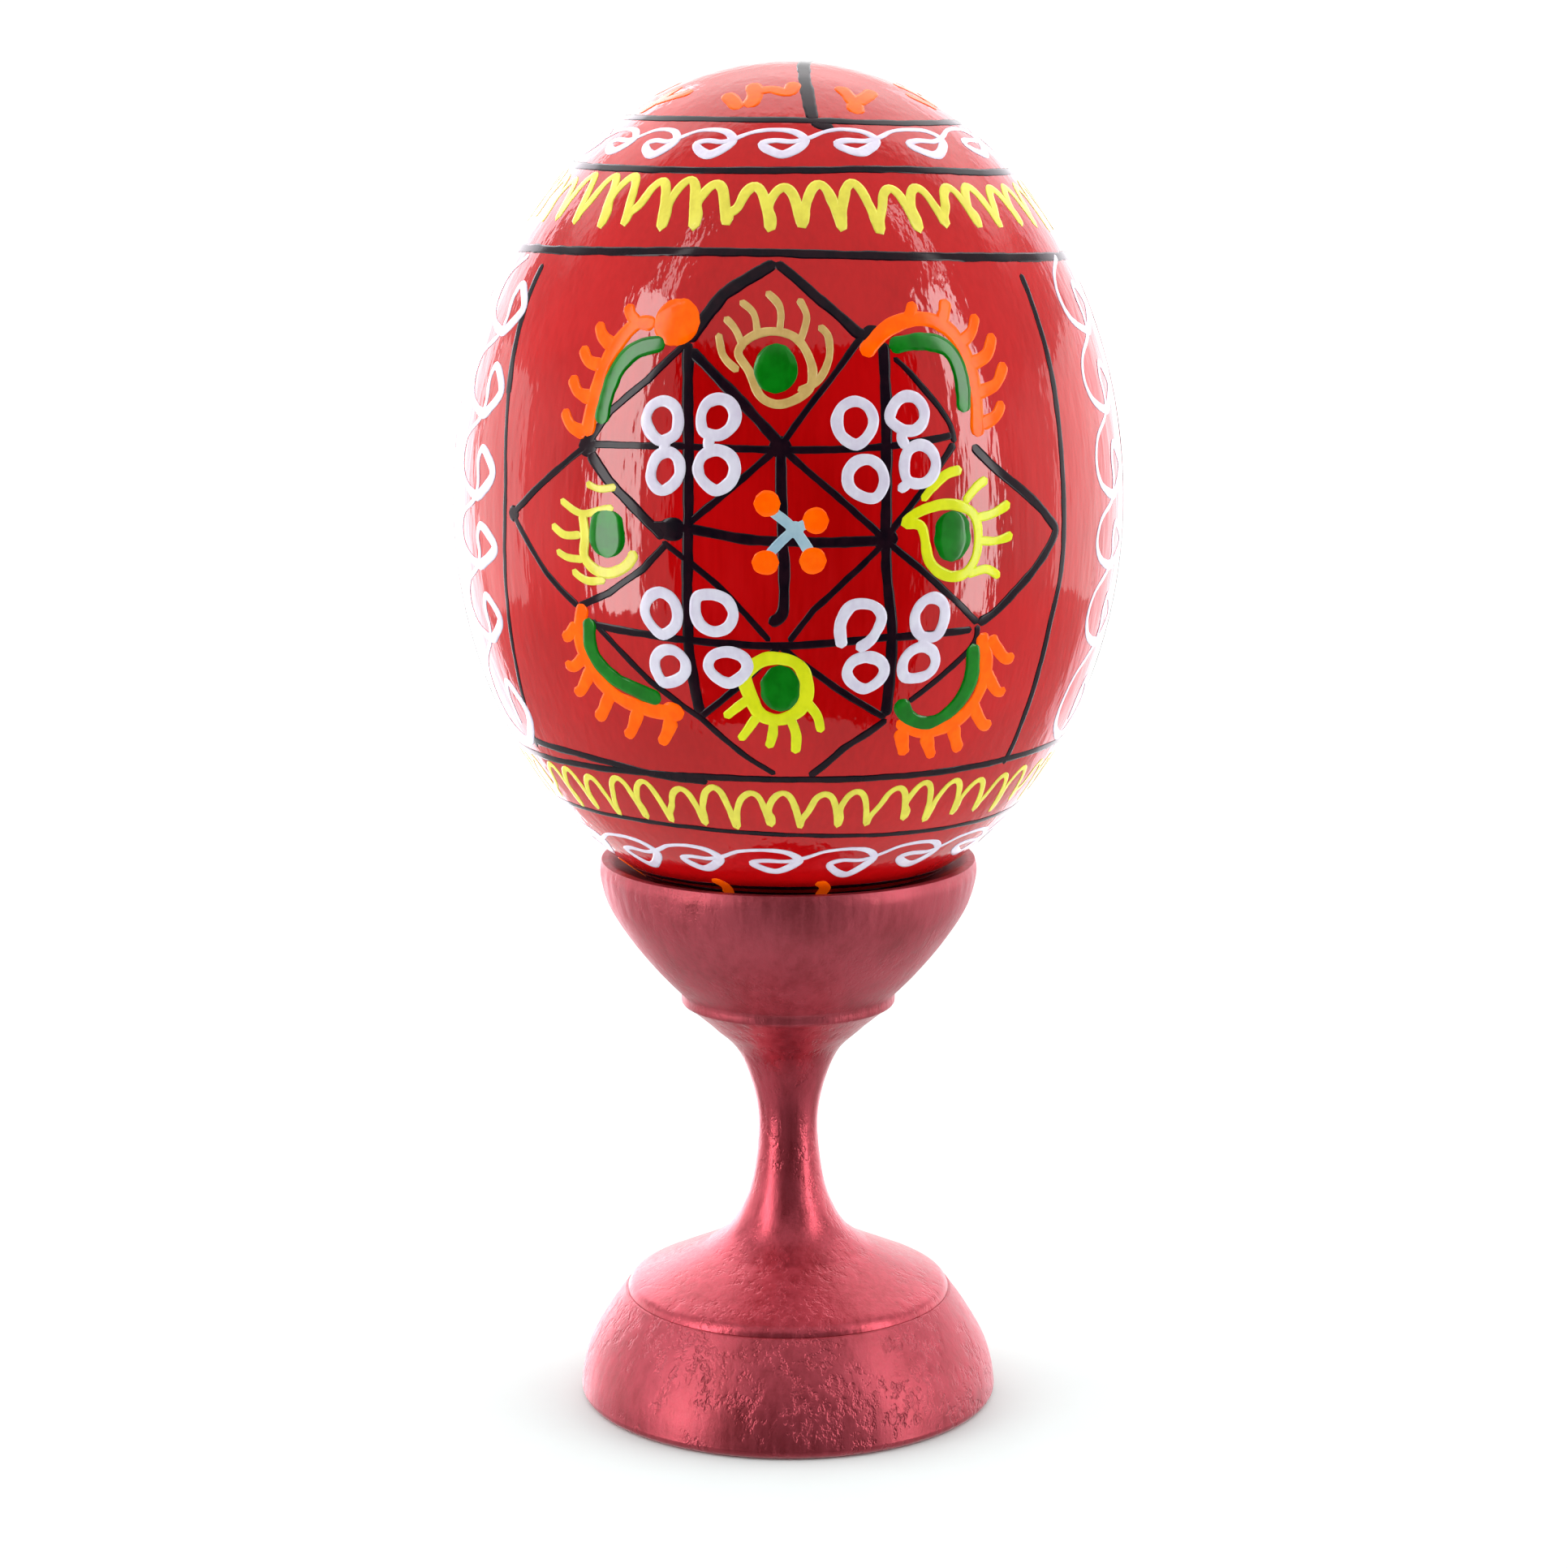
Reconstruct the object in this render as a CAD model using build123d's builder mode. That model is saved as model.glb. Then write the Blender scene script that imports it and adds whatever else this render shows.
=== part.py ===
from build123d import *
import os

# Painted wooden egg on a turned egg stand, in millimetres.
# The origin is the centre of the foot's underside and +Z points up through the egg.
# Everything is turned on one axis, so each piece is half a section drawn on XZ and revolved.
# A section's points are (distance from the axis, height above the table).

os.makedirs("parts", exist_ok=True)

# Egg
egg_half_width = 23.55
egg_lower_length = 29.6       # from the lower tip up to the widest place
egg_upper_length = 30.4
egg_bottom = 36.0             # height of the egg's lower tip
quarter_handle = 0.5523       # handle length that makes a Bezier quarter follow an ellipse

# Cup
rim_height = 39.9
rim_radius = 13.4
rim_land = 0.6                # width of the narrow flat top of the rim
bowl_outside = [(13.5, 38.9), (12.9, 36.7), (11.35, 34.2), (9.45, 31.85)]
bead_top = 30.05
bead_radius = 7.72
bead_round = 0.3
cup_underside = 29.2
seat_slope = 0.475            # rise over run of the conical seat, clear of the egg by 0.1
well_radius = 6.0             # round well under the seat, where the egg's tip hangs free
well_floor = 31.4
well_corner = 1.5

# Stem
flare_radius = 7.4            # top of the stem, just inside the bead
flare_outside = [(5.4, 27.5), (3.65, 25.75), (2.55, 23.0)]
waist = (2.14, 20.1)
lower_stem_outside = [(2.5, 16.4), (3.2, 14.1), (4.3, 12.3)]
flare_direction = (-1, -0.7)
disc_direction = (1, -0.48)
disc_top = (5.9, 11.05)       # where the stem runs out onto the lower disc
disc_edge_start = (10.85, 8.75)
disc_edge_middle = (11.5, 8.3)
disc_radius = 11.75
step_height = 7.75            # joint line between the stem's disc and the foot

# Foot
foot_top_radius = 11.9
foot_outside = [(13.1, 6.05), (14.35, 3.9), (14.95, 2.1)]
foot_radius = 15.16
foot_corner_height = 0.6
foot_corner_middle = (14.97, 0.18)
foot_flat_radius = 14.6

# Glued tenons
tenon_radius = 2.4
tenon_length = 3.0
foot_tenon_radius = 3.0
foot_tenon_length = 4.0
glue_gap = 0.05
tenon_end_gap = 0.3

# Egg: one solid turned blank, a lower and an upper half ellipsoid that meet at its widest place
widest_height = egg_bottom + egg_lower_length
egg_top = widest_height + egg_upper_length
handle_radius = quarter_handle * egg_half_width
with BuildPart() as egg:
    with BuildSketch(Plane.XZ):
        with BuildLine():
            Bezier(
                (0, egg_bottom),
                (handle_radius, egg_bottom),
                (egg_half_width, widest_height - quarter_handle * egg_lower_length),
                (egg_half_width, widest_height),
            )
            Bezier(
                (egg_half_width, widest_height),
                (egg_half_width, widest_height + quarter_handle * egg_upper_length),
                (handle_radius, egg_top),
                (0, egg_top),
            )
            Line((0, egg_top), (0, egg_bottom))
        make_face()
    revolve(axis=Axis.Z)
egg.part.label = "egg"
export_step(egg.part, "parts/egg.step")

# Cup: thin-rimmed bowl with a conical seat, a bead round its base and a tenon below
seat_outer_radius = rim_radius - rim_land
seat_inner_height = rim_height - seat_slope * (seat_outer_radius - well_radius)
bead_base_radius = bead_radius - bead_round
with BuildPart() as stand_cup:
    with BuildSketch(Plane.XZ):
        with BuildLine():
            Line((0, well_floor), (well_radius - well_corner, well_floor))
            RadiusArc(
                (well_radius - well_corner, well_floor),
                (well_radius, well_floor + well_corner),
                -well_corner,
            )
            Polyline(
                (well_radius, well_floor + well_corner),
                (well_radius, seat_inner_height),
                (seat_outer_radius, rim_height),
                (rim_radius, rim_height),
            )
            Spline((rim_radius, rim_height), *bowl_outside, (bead_radius, bead_top))
            Line((bead_radius, bead_top), (bead_radius, cup_underside + bead_round))
            RadiusArc(
                (bead_radius, cup_underside + bead_round),
                (bead_base_radius, cup_underside),
                bead_round,
            )
            Polyline(
                (bead_base_radius, cup_underside),
                (tenon_radius, cup_underside),
                (tenon_radius, cup_underside - tenon_length),
                (0, cup_underside - tenon_length),
                (0, well_floor),
            )
        make_face()
    revolve(axis=Axis.Z)
stand_cup.part.label = "stand_cup"
export_step(stand_cup.part, "parts/stand_cup.step")

# Stem: spindle that flares up to the cup and out to the lower disc, with a tenon below
stem_socket_floor = cup_underside - tenon_length - tenon_end_gap
stem_socket_radius = tenon_radius + glue_gap
with BuildPart() as stand_stem:
    with BuildSketch(Plane.XZ):
        with BuildLine():
            Polyline(
                (0, stem_socket_floor),
                (stem_socket_radius, stem_socket_floor),
                (stem_socket_radius, cup_underside),
                (flare_radius, cup_underside),
            )
            Spline(
                (flare_radius, cup_underside),
                *flare_outside,
                waist,
                *lower_stem_outside,
                disc_top,
                tangents=[flare_direction, disc_direction],
            )
            Line(disc_top, disc_edge_start)
            ThreePointArc(disc_edge_start, disc_edge_middle, (disc_radius, step_height))
            Polyline(
                (disc_radius, step_height),
                (foot_tenon_radius, step_height),
                (foot_tenon_radius, step_height - foot_tenon_length),
                (0, step_height - foot_tenon_length),
                (0, stem_socket_floor),
            )
        make_face()
    revolve(axis=Axis.Z)
stand_stem.part.label = "stand_stem"
export_step(stand_stem.part, "parts/stand_stem.step")

# Foot: domed base with a flat underside and a socket for the stem
foot_socket_floor = step_height - foot_tenon_length - tenon_end_gap
foot_socket_radius = foot_tenon_radius + glue_gap
with BuildPart() as stand_foot:
    with BuildSketch(Plane.XZ):
        with BuildLine():
            Polyline(
                (0, foot_socket_floor),
                (foot_socket_radius, foot_socket_floor),
                (foot_socket_radius, step_height),
                (foot_top_radius, step_height),
            )
            Spline(
                (foot_top_radius, step_height),
                *foot_outside,
                (foot_radius, foot_corner_height),
            )
            ThreePointArc(
                (foot_radius, foot_corner_height),
                foot_corner_middle,
                (foot_flat_radius, 0),
            )
            Polyline((foot_flat_radius, 0), (0, 0), (0, foot_socket_floor))
        make_face()
    revolve(axis=Axis.Z)
stand_foot.part.label = "stand_foot"
export_step(stand_foot.part, "parts/stand_foot.step")
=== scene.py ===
"""Hand-painted wooden egg standing in a turned wooden egg cup.

Sizes are in millimetres where a name ends in _mm or a docstring says so, and in metres in every mesh.
The painting is made of strokes, each along a few spots on the egg.
"""

import logging
import math
import random
from collections.abc import Callable, Iterable, Sequence
from dataclasses import dataclass
from enum import Enum
from typing import ClassVar

import bmesh
import bpy
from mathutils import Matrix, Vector, noise


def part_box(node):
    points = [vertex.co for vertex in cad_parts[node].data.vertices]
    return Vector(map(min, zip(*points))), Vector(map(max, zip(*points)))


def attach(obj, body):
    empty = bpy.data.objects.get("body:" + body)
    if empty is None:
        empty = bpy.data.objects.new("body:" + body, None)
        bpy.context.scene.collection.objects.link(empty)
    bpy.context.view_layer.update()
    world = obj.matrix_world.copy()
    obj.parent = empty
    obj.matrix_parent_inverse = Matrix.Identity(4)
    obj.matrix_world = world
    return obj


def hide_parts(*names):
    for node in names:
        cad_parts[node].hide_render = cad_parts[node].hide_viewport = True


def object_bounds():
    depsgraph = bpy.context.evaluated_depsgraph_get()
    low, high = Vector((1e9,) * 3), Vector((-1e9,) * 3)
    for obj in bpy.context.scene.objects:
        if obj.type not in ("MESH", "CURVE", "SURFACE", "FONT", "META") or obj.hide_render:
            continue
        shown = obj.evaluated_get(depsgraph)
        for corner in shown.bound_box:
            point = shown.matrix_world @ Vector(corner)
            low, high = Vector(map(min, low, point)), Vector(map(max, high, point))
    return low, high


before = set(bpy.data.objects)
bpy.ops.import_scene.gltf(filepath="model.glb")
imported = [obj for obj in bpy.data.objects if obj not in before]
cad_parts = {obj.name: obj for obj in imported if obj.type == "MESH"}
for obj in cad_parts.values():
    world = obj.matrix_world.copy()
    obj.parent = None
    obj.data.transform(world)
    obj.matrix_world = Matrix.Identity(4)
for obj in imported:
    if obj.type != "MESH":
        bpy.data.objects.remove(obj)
CAD_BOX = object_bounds()
MM = 0.001
log = logging.getLogger("painted_egg")

Spot = tuple[float, float]
"""A place on the egg: degrees round from the front, and millimetres above the lower tip."""

Corner = tuple[float, float]
"""A place on the outline of a turned piece: radius and height."""

Colour = tuple[float, float, float]
"""Red, green and blue, as shares of full brightness."""


# Node helpers


@dataclass(frozen=True)
class Wire:
    """One output socket of a node. Python's operators on it add the matching maths nodes."""

    bench: "NodeBench"
    socket: bpy.types.NodeSocket

    def _maths(self, operation: str, *values: "Wire | float") -> "Wire":
        """Adds one scalar maths node.

        Args:
            operation: the Math node's operation.
            values: its inputs in order.

        Returns:
            The node's result.
        """
        return self.bench.add("ShaderNodeMath", {"operation": operation}, dict(enumerate(values)))

    def _vector(self, operation: str, *values: "Wire | Sequence[float]") -> "Wire":
        """Adds one vector maths node.

        Args:
            operation: the Vector Math node's operation.
            values: its inputs in order.

        Returns:
            The node's result.
        """
        return self.bench.add("ShaderNodeVectorMath", {"operation": operation}, dict(enumerate(values)))

    @property
    def is_vector(self) -> bool:
        """True when the socket carries a vector or a colour."""
        return self.socket.type in ("VECTOR", "RGBA")

    def __add__(self, other: "Wire | float") -> "Wire":
        """Sum."""
        return self._vector("ADD", self, other) if self.is_vector else self._maths("ADD", self, other)

    def __radd__(self, other: float) -> "Wire":
        """Sum with the number first."""
        return self + other

    def __sub__(self, other: "Wire | float") -> "Wire":
        """Difference."""
        if self.is_vector:
            return self._vector("SUBTRACT", self, other)
        return self._maths("SUBTRACT", self, other)

    def __rsub__(self, other: float) -> "Wire":
        """Number minus the wire."""
        return self._maths("SUBTRACT", other, self)

    def __mul__(self, other: "Wire | float") -> "Wire":
        """Product, or a vector scaled by a number."""
        if self.is_vector:
            scaled = {0: self, "Scale": other}
            return self.bench.add("ShaderNodeVectorMath", {"operation": "SCALE"}, scaled)
        return self._maths("MULTIPLY", self, other)

    def __rmul__(self, other: float) -> "Wire":
        """Product with the number first."""
        return self * other

    def __rtruediv__(self, other: float) -> "Wire":
        """Number over the wire."""
        return self._maths("DIVIDE", other, self)

    def __truediv__(self, other: "Wire | float") -> "Wire":
        """Quotient, or a vector divided part by part."""
        if self.is_vector:
            return self._vector("DIVIDE", self, other)
        return self._maths("DIVIDE", self, other)

    def __pow__(self, other: "Wire | float") -> "Wire":
        """Power."""
        return self._maths("POWER", self, other)

    def below(self, other: "Wire | float") -> "Wire":
        """One where the wire is less than the other, and zero elsewhere."""
        return self._maths("LESS_THAN", self, other)

    def least(self, other: "Wire | float") -> "Wire":
        """The smaller of the two."""
        return self._maths("MINIMUM", self, other)

    def most(self, other: "Wire | float") -> "Wire":
        """The larger of the two."""
        return self._maths("MAXIMUM", self, other)

    def size(self) -> "Wire":
        """The value without its sign."""
        return self._maths("ABSOLUTE", self)

    def sign(self) -> "Wire":
        """Minus one, zero or one."""
        return self._maths("SIGN", self)

    def root(self) -> "Wire":
        """Square root."""
        return self._maths("SQRT", self)

    def length(self) -> "Wire":
        """Length of a vector."""
        return self._vector("LENGTH", self).other("Value")

    def other(self, name: str) -> "Wire":
        """Another output of the same node."""
        return Wire(self.bench, self.socket.node.outputs[name])

    def ramp(self, low: float, high: float, start: float = 0.0, end: float = 1.0) -> "Wire":
        """Maps a range of the wire onto another, smoothly and clamped.

        Args:
            low: value of the wire that gives start.
            high: value of the wire that gives end.
            start: result at low.
            end: result at high.

        Returns:
            The mapped value.
        """
        settings = {"interpolation_type": "SMOOTHSTEP"}
        sockets = {"Value": self, "From Min": low, "From Max": high, "To Min": start, "To Max": end}
        return self.bench.add("ShaderNodeMapRange", settings, sockets)


@dataclass(frozen=True)
class NodeBench:
    """Adds nodes to one tree."""

    tree: bpy.types.NodeTree

    def add(
        self,
        kind: str,
        settings: dict | None = None,
        sockets: dict | None = None,
        output: int | str = 0,
    ) -> Wire:
        """Adds a node.

        Args:
            kind: the node's type.
            settings: its properties, set before its sockets.
            sockets: values or wires for its inputs, by name or place.
            output: which output to give back.

        Returns:
            The chosen output.
        """
        node = self.tree.nodes.new(kind)
        for name, value in (settings or {}).items():
            setattr(node, name, value)
        for key, value in (sockets or {}).items():
            if isinstance(value, Wire):
                self.tree.links.new(value.socket, node.inputs[key])
            else:
                node.inputs[key].default_value = value
        return Wire(self, node.outputs[output]) if node.outputs else Wire(self, None)

    def noise(self, where: Wire, scale: float, detail: float = 2.0, roughness: float = 0.5) -> Wire:
        """Noise between 0 and 1.

        Args:
            where: coordinates that it reads.
            scale: features per unit.
            detail: octaves.
            roughness: weight of the finer octaves.

        Returns:
            The noise's value; its colour is the Color output.
        """
        sockets = {"Vector": where, "Scale": scale, "Detail": detail, "Roughness": roughness}
        return self.add("ShaderNodeTexNoise", {"noise_dimensions": "3D"}, sockets)

    def blend(self, amount: Wire | float, first: Wire | Colour, second: Wire | Colour) -> Wire:
        """Mixes two colours.

        Args:
            amount: 0 gives the first colour and 1 the second.
            first: first colour.
            second: second colour.

        Returns:
            The mixed colour.
        """
        pick = [value if isinstance(value, Wire) else (*value, 1.0) for value in (first, second)]
        sockets = {0: amount, 6: pick[0], 7: pick[1]}
        return self.add("ShaderNodeMix", {"data_type": "RGBA", "clamp_factor": True}, sockets, 2)


# Finishes


@dataclass(frozen=True)
class Finish:
    """A procedural surface finish; the subclasses say how its colour, gloss and relief vary."""

    name: str

    def material(self) -> bpy.types.Material:
        """Builds the finish, or gives back the one already built.

        Returns:
            The material.
        """
        found = bpy.data.materials.get(self.name)
        if found:
            return found
        made = bpy.data.materials.new(self.name)
        made.use_nodes = True
        made.node_tree.nodes.clear()
        bench = NodeBench(made.node_tree)
        place = bench.add("ShaderNodeTexCoord", output="Object")
        surface = bench.add("ShaderNodeBsdfPrincipled", {}, self.sockets(bench, place))
        bench.add("ShaderNodeOutputMaterial", {}, {"Surface": surface})
        return made

    def sockets(self, bench: NodeBench, place: Wire) -> dict:
        """Values and wires for the surface shader.

        Args:
            bench: where the nodes are added.
            place: object coordinates in metres.

        Returns:
            Inputs of the Principled shader by name.
        """
        raise NotImplementedError

    @staticmethod
    def stretched(bench: NodeBench, place: Wire, squeeze: float) -> Wire:
        """Coordinates whose features run long in the upright direction.

        Args:
            bench: where the nodes are added.
            place: object coordinates.
            squeeze: how much shorter a step upwards counts.

        Returns:
            The scaled coordinates.
        """
        return bench.add("ShaderNodeMapping", {}, {"Vector": place, "Scale": (1.0, 1.0, squeeze)})

    @staticmethod
    def bump(bench: NodeBench, height: Wire, strength: float, distance_mm: float) -> Wire:
        """Fine relief.

        Args:
            bench: where the nodes are added.
            height: relief between 0 and 1.
            strength: how strongly it shows.
            distance_mm: depth of the relief.

        Returns:
            The bumped normal.
        """
        sockets = {"Height": height, "Strength": strength, "Distance": distance_mm * MM}
        return bench.add("ShaderNodeBump", {}, sockets)


@dataclass(frozen=True)
class RedLacquer(Finish):
    """Deep red dye under clear gloss, with the wood's grain ghosting through."""

    deep: Colour = (0.46, 0.0004, 0.0010)
    bright: Colour = (0.62, 0.0024, 0.0036)
    roughness: float = 0.055
    grain_scale: float = 2600.0
    cloud_scale: float = 90.0
    fleck_scale: float = 5200.0
    ripple_scale: float = 1300.0
    relief_mm: float = 0.13

    def sockets(self, bench: NodeBench, place: Wire) -> dict:
        """Red that drifts slowly, with fine upright grain in its gloss."""
        grain = bench.noise(self.stretched(bench, place, 0.07), self.grain_scale, 3.0, 0.6)
        cloud = bench.noise(place, self.cloud_scale, 2.0)
        fleck = bench.noise(place, self.fleck_scale, 1.0)
        tone = (cloud * 0.7 + grain * 0.3).ramp(0.3, 0.7)
        ripple = bench.noise(self.stretched(bench, place, 0.2), self.ripple_scale, 2.0, 0.5)
        relief = ripple * 0.8 + grain * 0.1 + fleck * 0.01
        return {
            "Base Color": bench.blend(tone, self.deep, self.bright),
            "Roughness": grain.ramp(0.3, 0.8, self.roughness - 0.02, self.roughness + 0.03),
            "Specular IOR Level": 0.5,
            "IOR": 1.5,
            "Normal": self.bump(bench, relief, 0.4, self.relief_mm),
        }


@dataclass(frozen=True)
class Enamel(Finish):
    """Brushed-on paint under the same gloss, a little thin in places; some paints also emit their colour
    as a painted glow, though they are no lamp.
    """

    full: Colour = (1.0, 1.0, 1.0)
    thin: Colour = (0.8, 0.8, 0.8)
    roughness: float = 0.1
    # Strength of the painted glow: emission that makes the paint shine as if lit.
    painted_glow: float = 0.0
    shine: float = 0.4
    pool_scale: float = 700.0
    fibre_scale: float = 3200.0
    relief_mm: float = 0.03

    def sockets(self, bench: NodeBench, place: Wire) -> dict:
        """Paint that pools and thins along each stroke, and, where its strength is above zero, shines with
        a painted glow.
        """
        pool = bench.noise(place, self.pool_scale, 3.0, 0.6)
        fibre = bench.noise(self.stretched(bench, place, 0.15), self.fibre_scale, 2.0)
        cover = (pool * 0.75 + fibre * 0.25).ramp(0.34, 0.66)
        return {
            "Base Color": bench.blend(cover, self.thin, self.full),
            "Roughness": pool.ramp(0.3, 0.7, self.roughness, self.roughness + 0.08),
            "Specular IOR Level": self.shine,
            "Normal": self.bump(bench, pool * 0.5 + fibre * 0.3, 0.15, self.relief_mm),
            # Painted glow: the paint emits its own full colour, so it shines though it is no lamp.
            "Emission Color": (*self.full, 1.0),
            "Emission Strength": self.painted_glow,
        }


@dataclass(frozen=True)
class SatinWash(Finish):
    """Pearly pink-red metal paint over turned wood, with upright streaks, torn grain and pits."""

    light: Colour
    dark: Colour
    metal: float
    roughness: float
    pitting: float
    streak_scale: float = 1500.0
    cloud_scale: float = 160.0
    speck_scale: float = 4200.0
    tear_scale: float = 1150.0
    worn_scale: float = 190.0
    relief_mm: float = 0.09

    def sockets(self, bench: NodeBench, place: Wire) -> dict:
        """Streaky paint whose gloss and tone follow the grain."""
        streak = bench.noise(self.stretched(bench, place, 0.14), self.streak_scale, 4.0, 0.6)
        cloud = bench.noise(place, self.cloud_scale, 3.0)
        speck = bench.noise(place, self.speck_scale, 2.0, 0.7)
        tear = bench.noise(self.stretched(bench, place, 0.7), self.tear_scale, 3.0, 0.7).ramp(0.48, 0.64)
        worn = bench.noise(place, self.worn_scale, 2.0).ramp(0.42, 0.58)
        tone = (streak * 0.35 + cloud * 0.45 + speck * 0.2).ramp(0.34, 0.62)
        relief = streak * 0.5 + speck * 0.25 - tear * worn * self.pitting
        return {
            "Base Color": bench.blend(tone, self.dark, self.light),
            "Metallic": speck.ramp(0.2, 0.8, self.metal - 0.1, self.metal + 0.1),
            "Roughness": (streak * 0.5 + speck * 0.5).ramp(
                0.3, 0.7, self.roughness - 0.05, self.roughness + 0.1
            ),
            "Normal": self.bump(bench, relief, 0.5, self.relief_mm),
        }


@dataclass(frozen=True)
class PaleSheet(Finish):
    """Matt white card that the stand rests on."""

    tint: Colour = (0.755, 0.82, 0.815)

    def sockets(self, bench: NodeBench, place: Wire) -> dict:
        """Nearly even white with a faint fibre."""
        fibre = bench.noise(place, 300.0, 3.0)
        shade = tuple(0.97 * part for part in self.tint)
        return {
            "Base Color": bench.blend(fibre, shade, self.tint),
            "Roughness": fibre.ramp(0.2, 0.8, 0.8, 0.9),
            "Specular IOR Level": 0.1,
        }


@dataclass(frozen=True)
class BlackCard(Finish):
    """Dead-black card."""

    def sockets(self, bench: NodeBench, place: Wire) -> dict:
        """Black felt with a faint nap."""
        nap = bench.noise(place, 400.0)
        return {"Base Color": bench.blend(nap, (0.004,) * 3, (0.008,) * 3), "Specular IOR Level": 0.0}


class Pot(Enum):
    """The paint pots: finish, record slot and how thick the paint lies, in millimetres."""

    BLACK = (
        Enamel("egg_black_paint", (0.006, 0.003, 0.007), (0.018, 0.005, 0.010), shine=0.18),
        "paint_black",
        0.010,
    )
    PALE_BLUE = (
        Enamel("egg_pale_blue_paint", (0.46, 0.64, 0.74), (0.36, 0.54, 0.68)),
        "paint_pale_blue",
        0.015,
    )
    # Yellow, lime and orange get a painted glow: emission that makes them shine though they are no lamp.
    YELLOW = (
        Enamel("egg_yellow_paint", (0.84, 0.76, 0.09), (0.72, 0.63, 0.07), painted_glow=0.10, shine=0.3),
        "paint_yellow",
        0.018,
    )
    LIME = (
        Enamel("egg_lime_paint", (0.78, 0.80, 0.008), (0.66, 0.70, 0.008), painted_glow=0.10, shine=0.25),
        "paint_yellow",
        0.018,
    )
    TAN = (
        Enamel("egg_tan_paint", (0.74, 0.50, 0.17), (0.62, 0.38, 0.12), shine=0.3),
        "paint_tan",
        0.018,
    )
    ORANGE = (
        Enamel("egg_orange_paint", (1.0, 0.13, 0.0), (1.0, 0.09, 0.0), painted_glow=0.26, shine=0.14),
        "paint_orange",
        0.022,
    )
    WHITE = (
        Enamel("egg_white_paint", (0.88, 0.83, 0.96), (0.78, 0.70, 0.86)),
        "paint_white",
        0.026,
    )
    GREEN = (
        Enamel("egg_green_paint", (0.002, 0.22, 0.006), (0.002, 0.15, 0.004), shine=0.3),
        "paint_green",
        0.030,
    )

    @property
    def finish(self) -> Enamel:
        """The paint's finish."""
        return self.value[0]

    @property
    def slot(self) -> str:
        """The record slot named with the paint; its colour comes from its finish."""
        return self.value[1]

    @property
    def thickness(self) -> float:
        """Thickness of the dried paint in metres."""
        return self.value[2] * MM


# The egg's own shape, which everything painted on it follows


@dataclass(frozen=True)
class EggShape:
    """Half an ellipsoid below the widest place and half of another above it, in metres."""

    half_width: float
    lower: float
    upper: float
    centre_height: float
    lower_share: float = 29.6 / 60

    @classmethod
    def from_box(cls, low: Vector, high: Vector) -> "EggShape":
        """Sizes taken from the egg's box.

        Args:
            low: lowest corner.
            high: highest corner.

        Returns:
            The shape.
        """
        tall = high.z - low.z
        lower = tall * cls.lower_share
        return cls((high.x - low.x) / 2, lower, tall - lower, low.z + lower)

    def radius(self, rise: float, least: float = 0.0) -> float:
        """Radius in metres at a rise above the widest circle.

        Args:
            rise: metres above the widest circle.
            least: smallest square that the radius may have, as a share of the full one's.

        Returns:
            The radius.
        """
        half = self.lower if rise < 0 else self.upper
        return self.half_width * math.sqrt(max(least, 1 - (rise / half) ** 2))

    def point(self, spot: Spot) -> Vector:
        """A spot's place on the surface.

        Args:
            spot: degrees round from the front and millimetres above the lower tip.

        Returns:
            The point in metres.
        """
        rise = spot[1] * MM - self.lower
        radius = self.radius(rise)
        turn = math.radians(spot[0])
        return Vector((radius * math.sin(turn), -radius * math.cos(turn), self.centre_height + rise))

    def degrees(self, distance_mm: float, height_mm: float) -> float:
        """How many degrees round a distance along the surface is at a height."""
        return math.degrees(distance_mm * MM / self.radius(height_mm * MM - self.lower, 0.02))


@dataclass(frozen=True)
class Stroke:
    """One stroke of the brush.

    It has spots, one width or one for each spot in millimetres, and says whether it bends or closes.
    """

    spots: tuple[Spot, ...]
    width: float = 0.7
    bends: bool = True
    closed: bool = False
    widths: tuple[float, ...] = ()

    def turned(self, degrees: float) -> "Stroke":
        """The same stroke further round the egg."""
        spots = tuple((turn + degrees, height) for turn, height in self.spots)
        return Stroke(spots, self.width, self.bends, self.closed, self.widths)

    def half_widths(self) -> list[float]:
        """Half the brush's width at each spot, in metres."""
        given = self.widths or (self.width,) * len(self.spots)
        return [value * MM / 2 for value in given]


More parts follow.
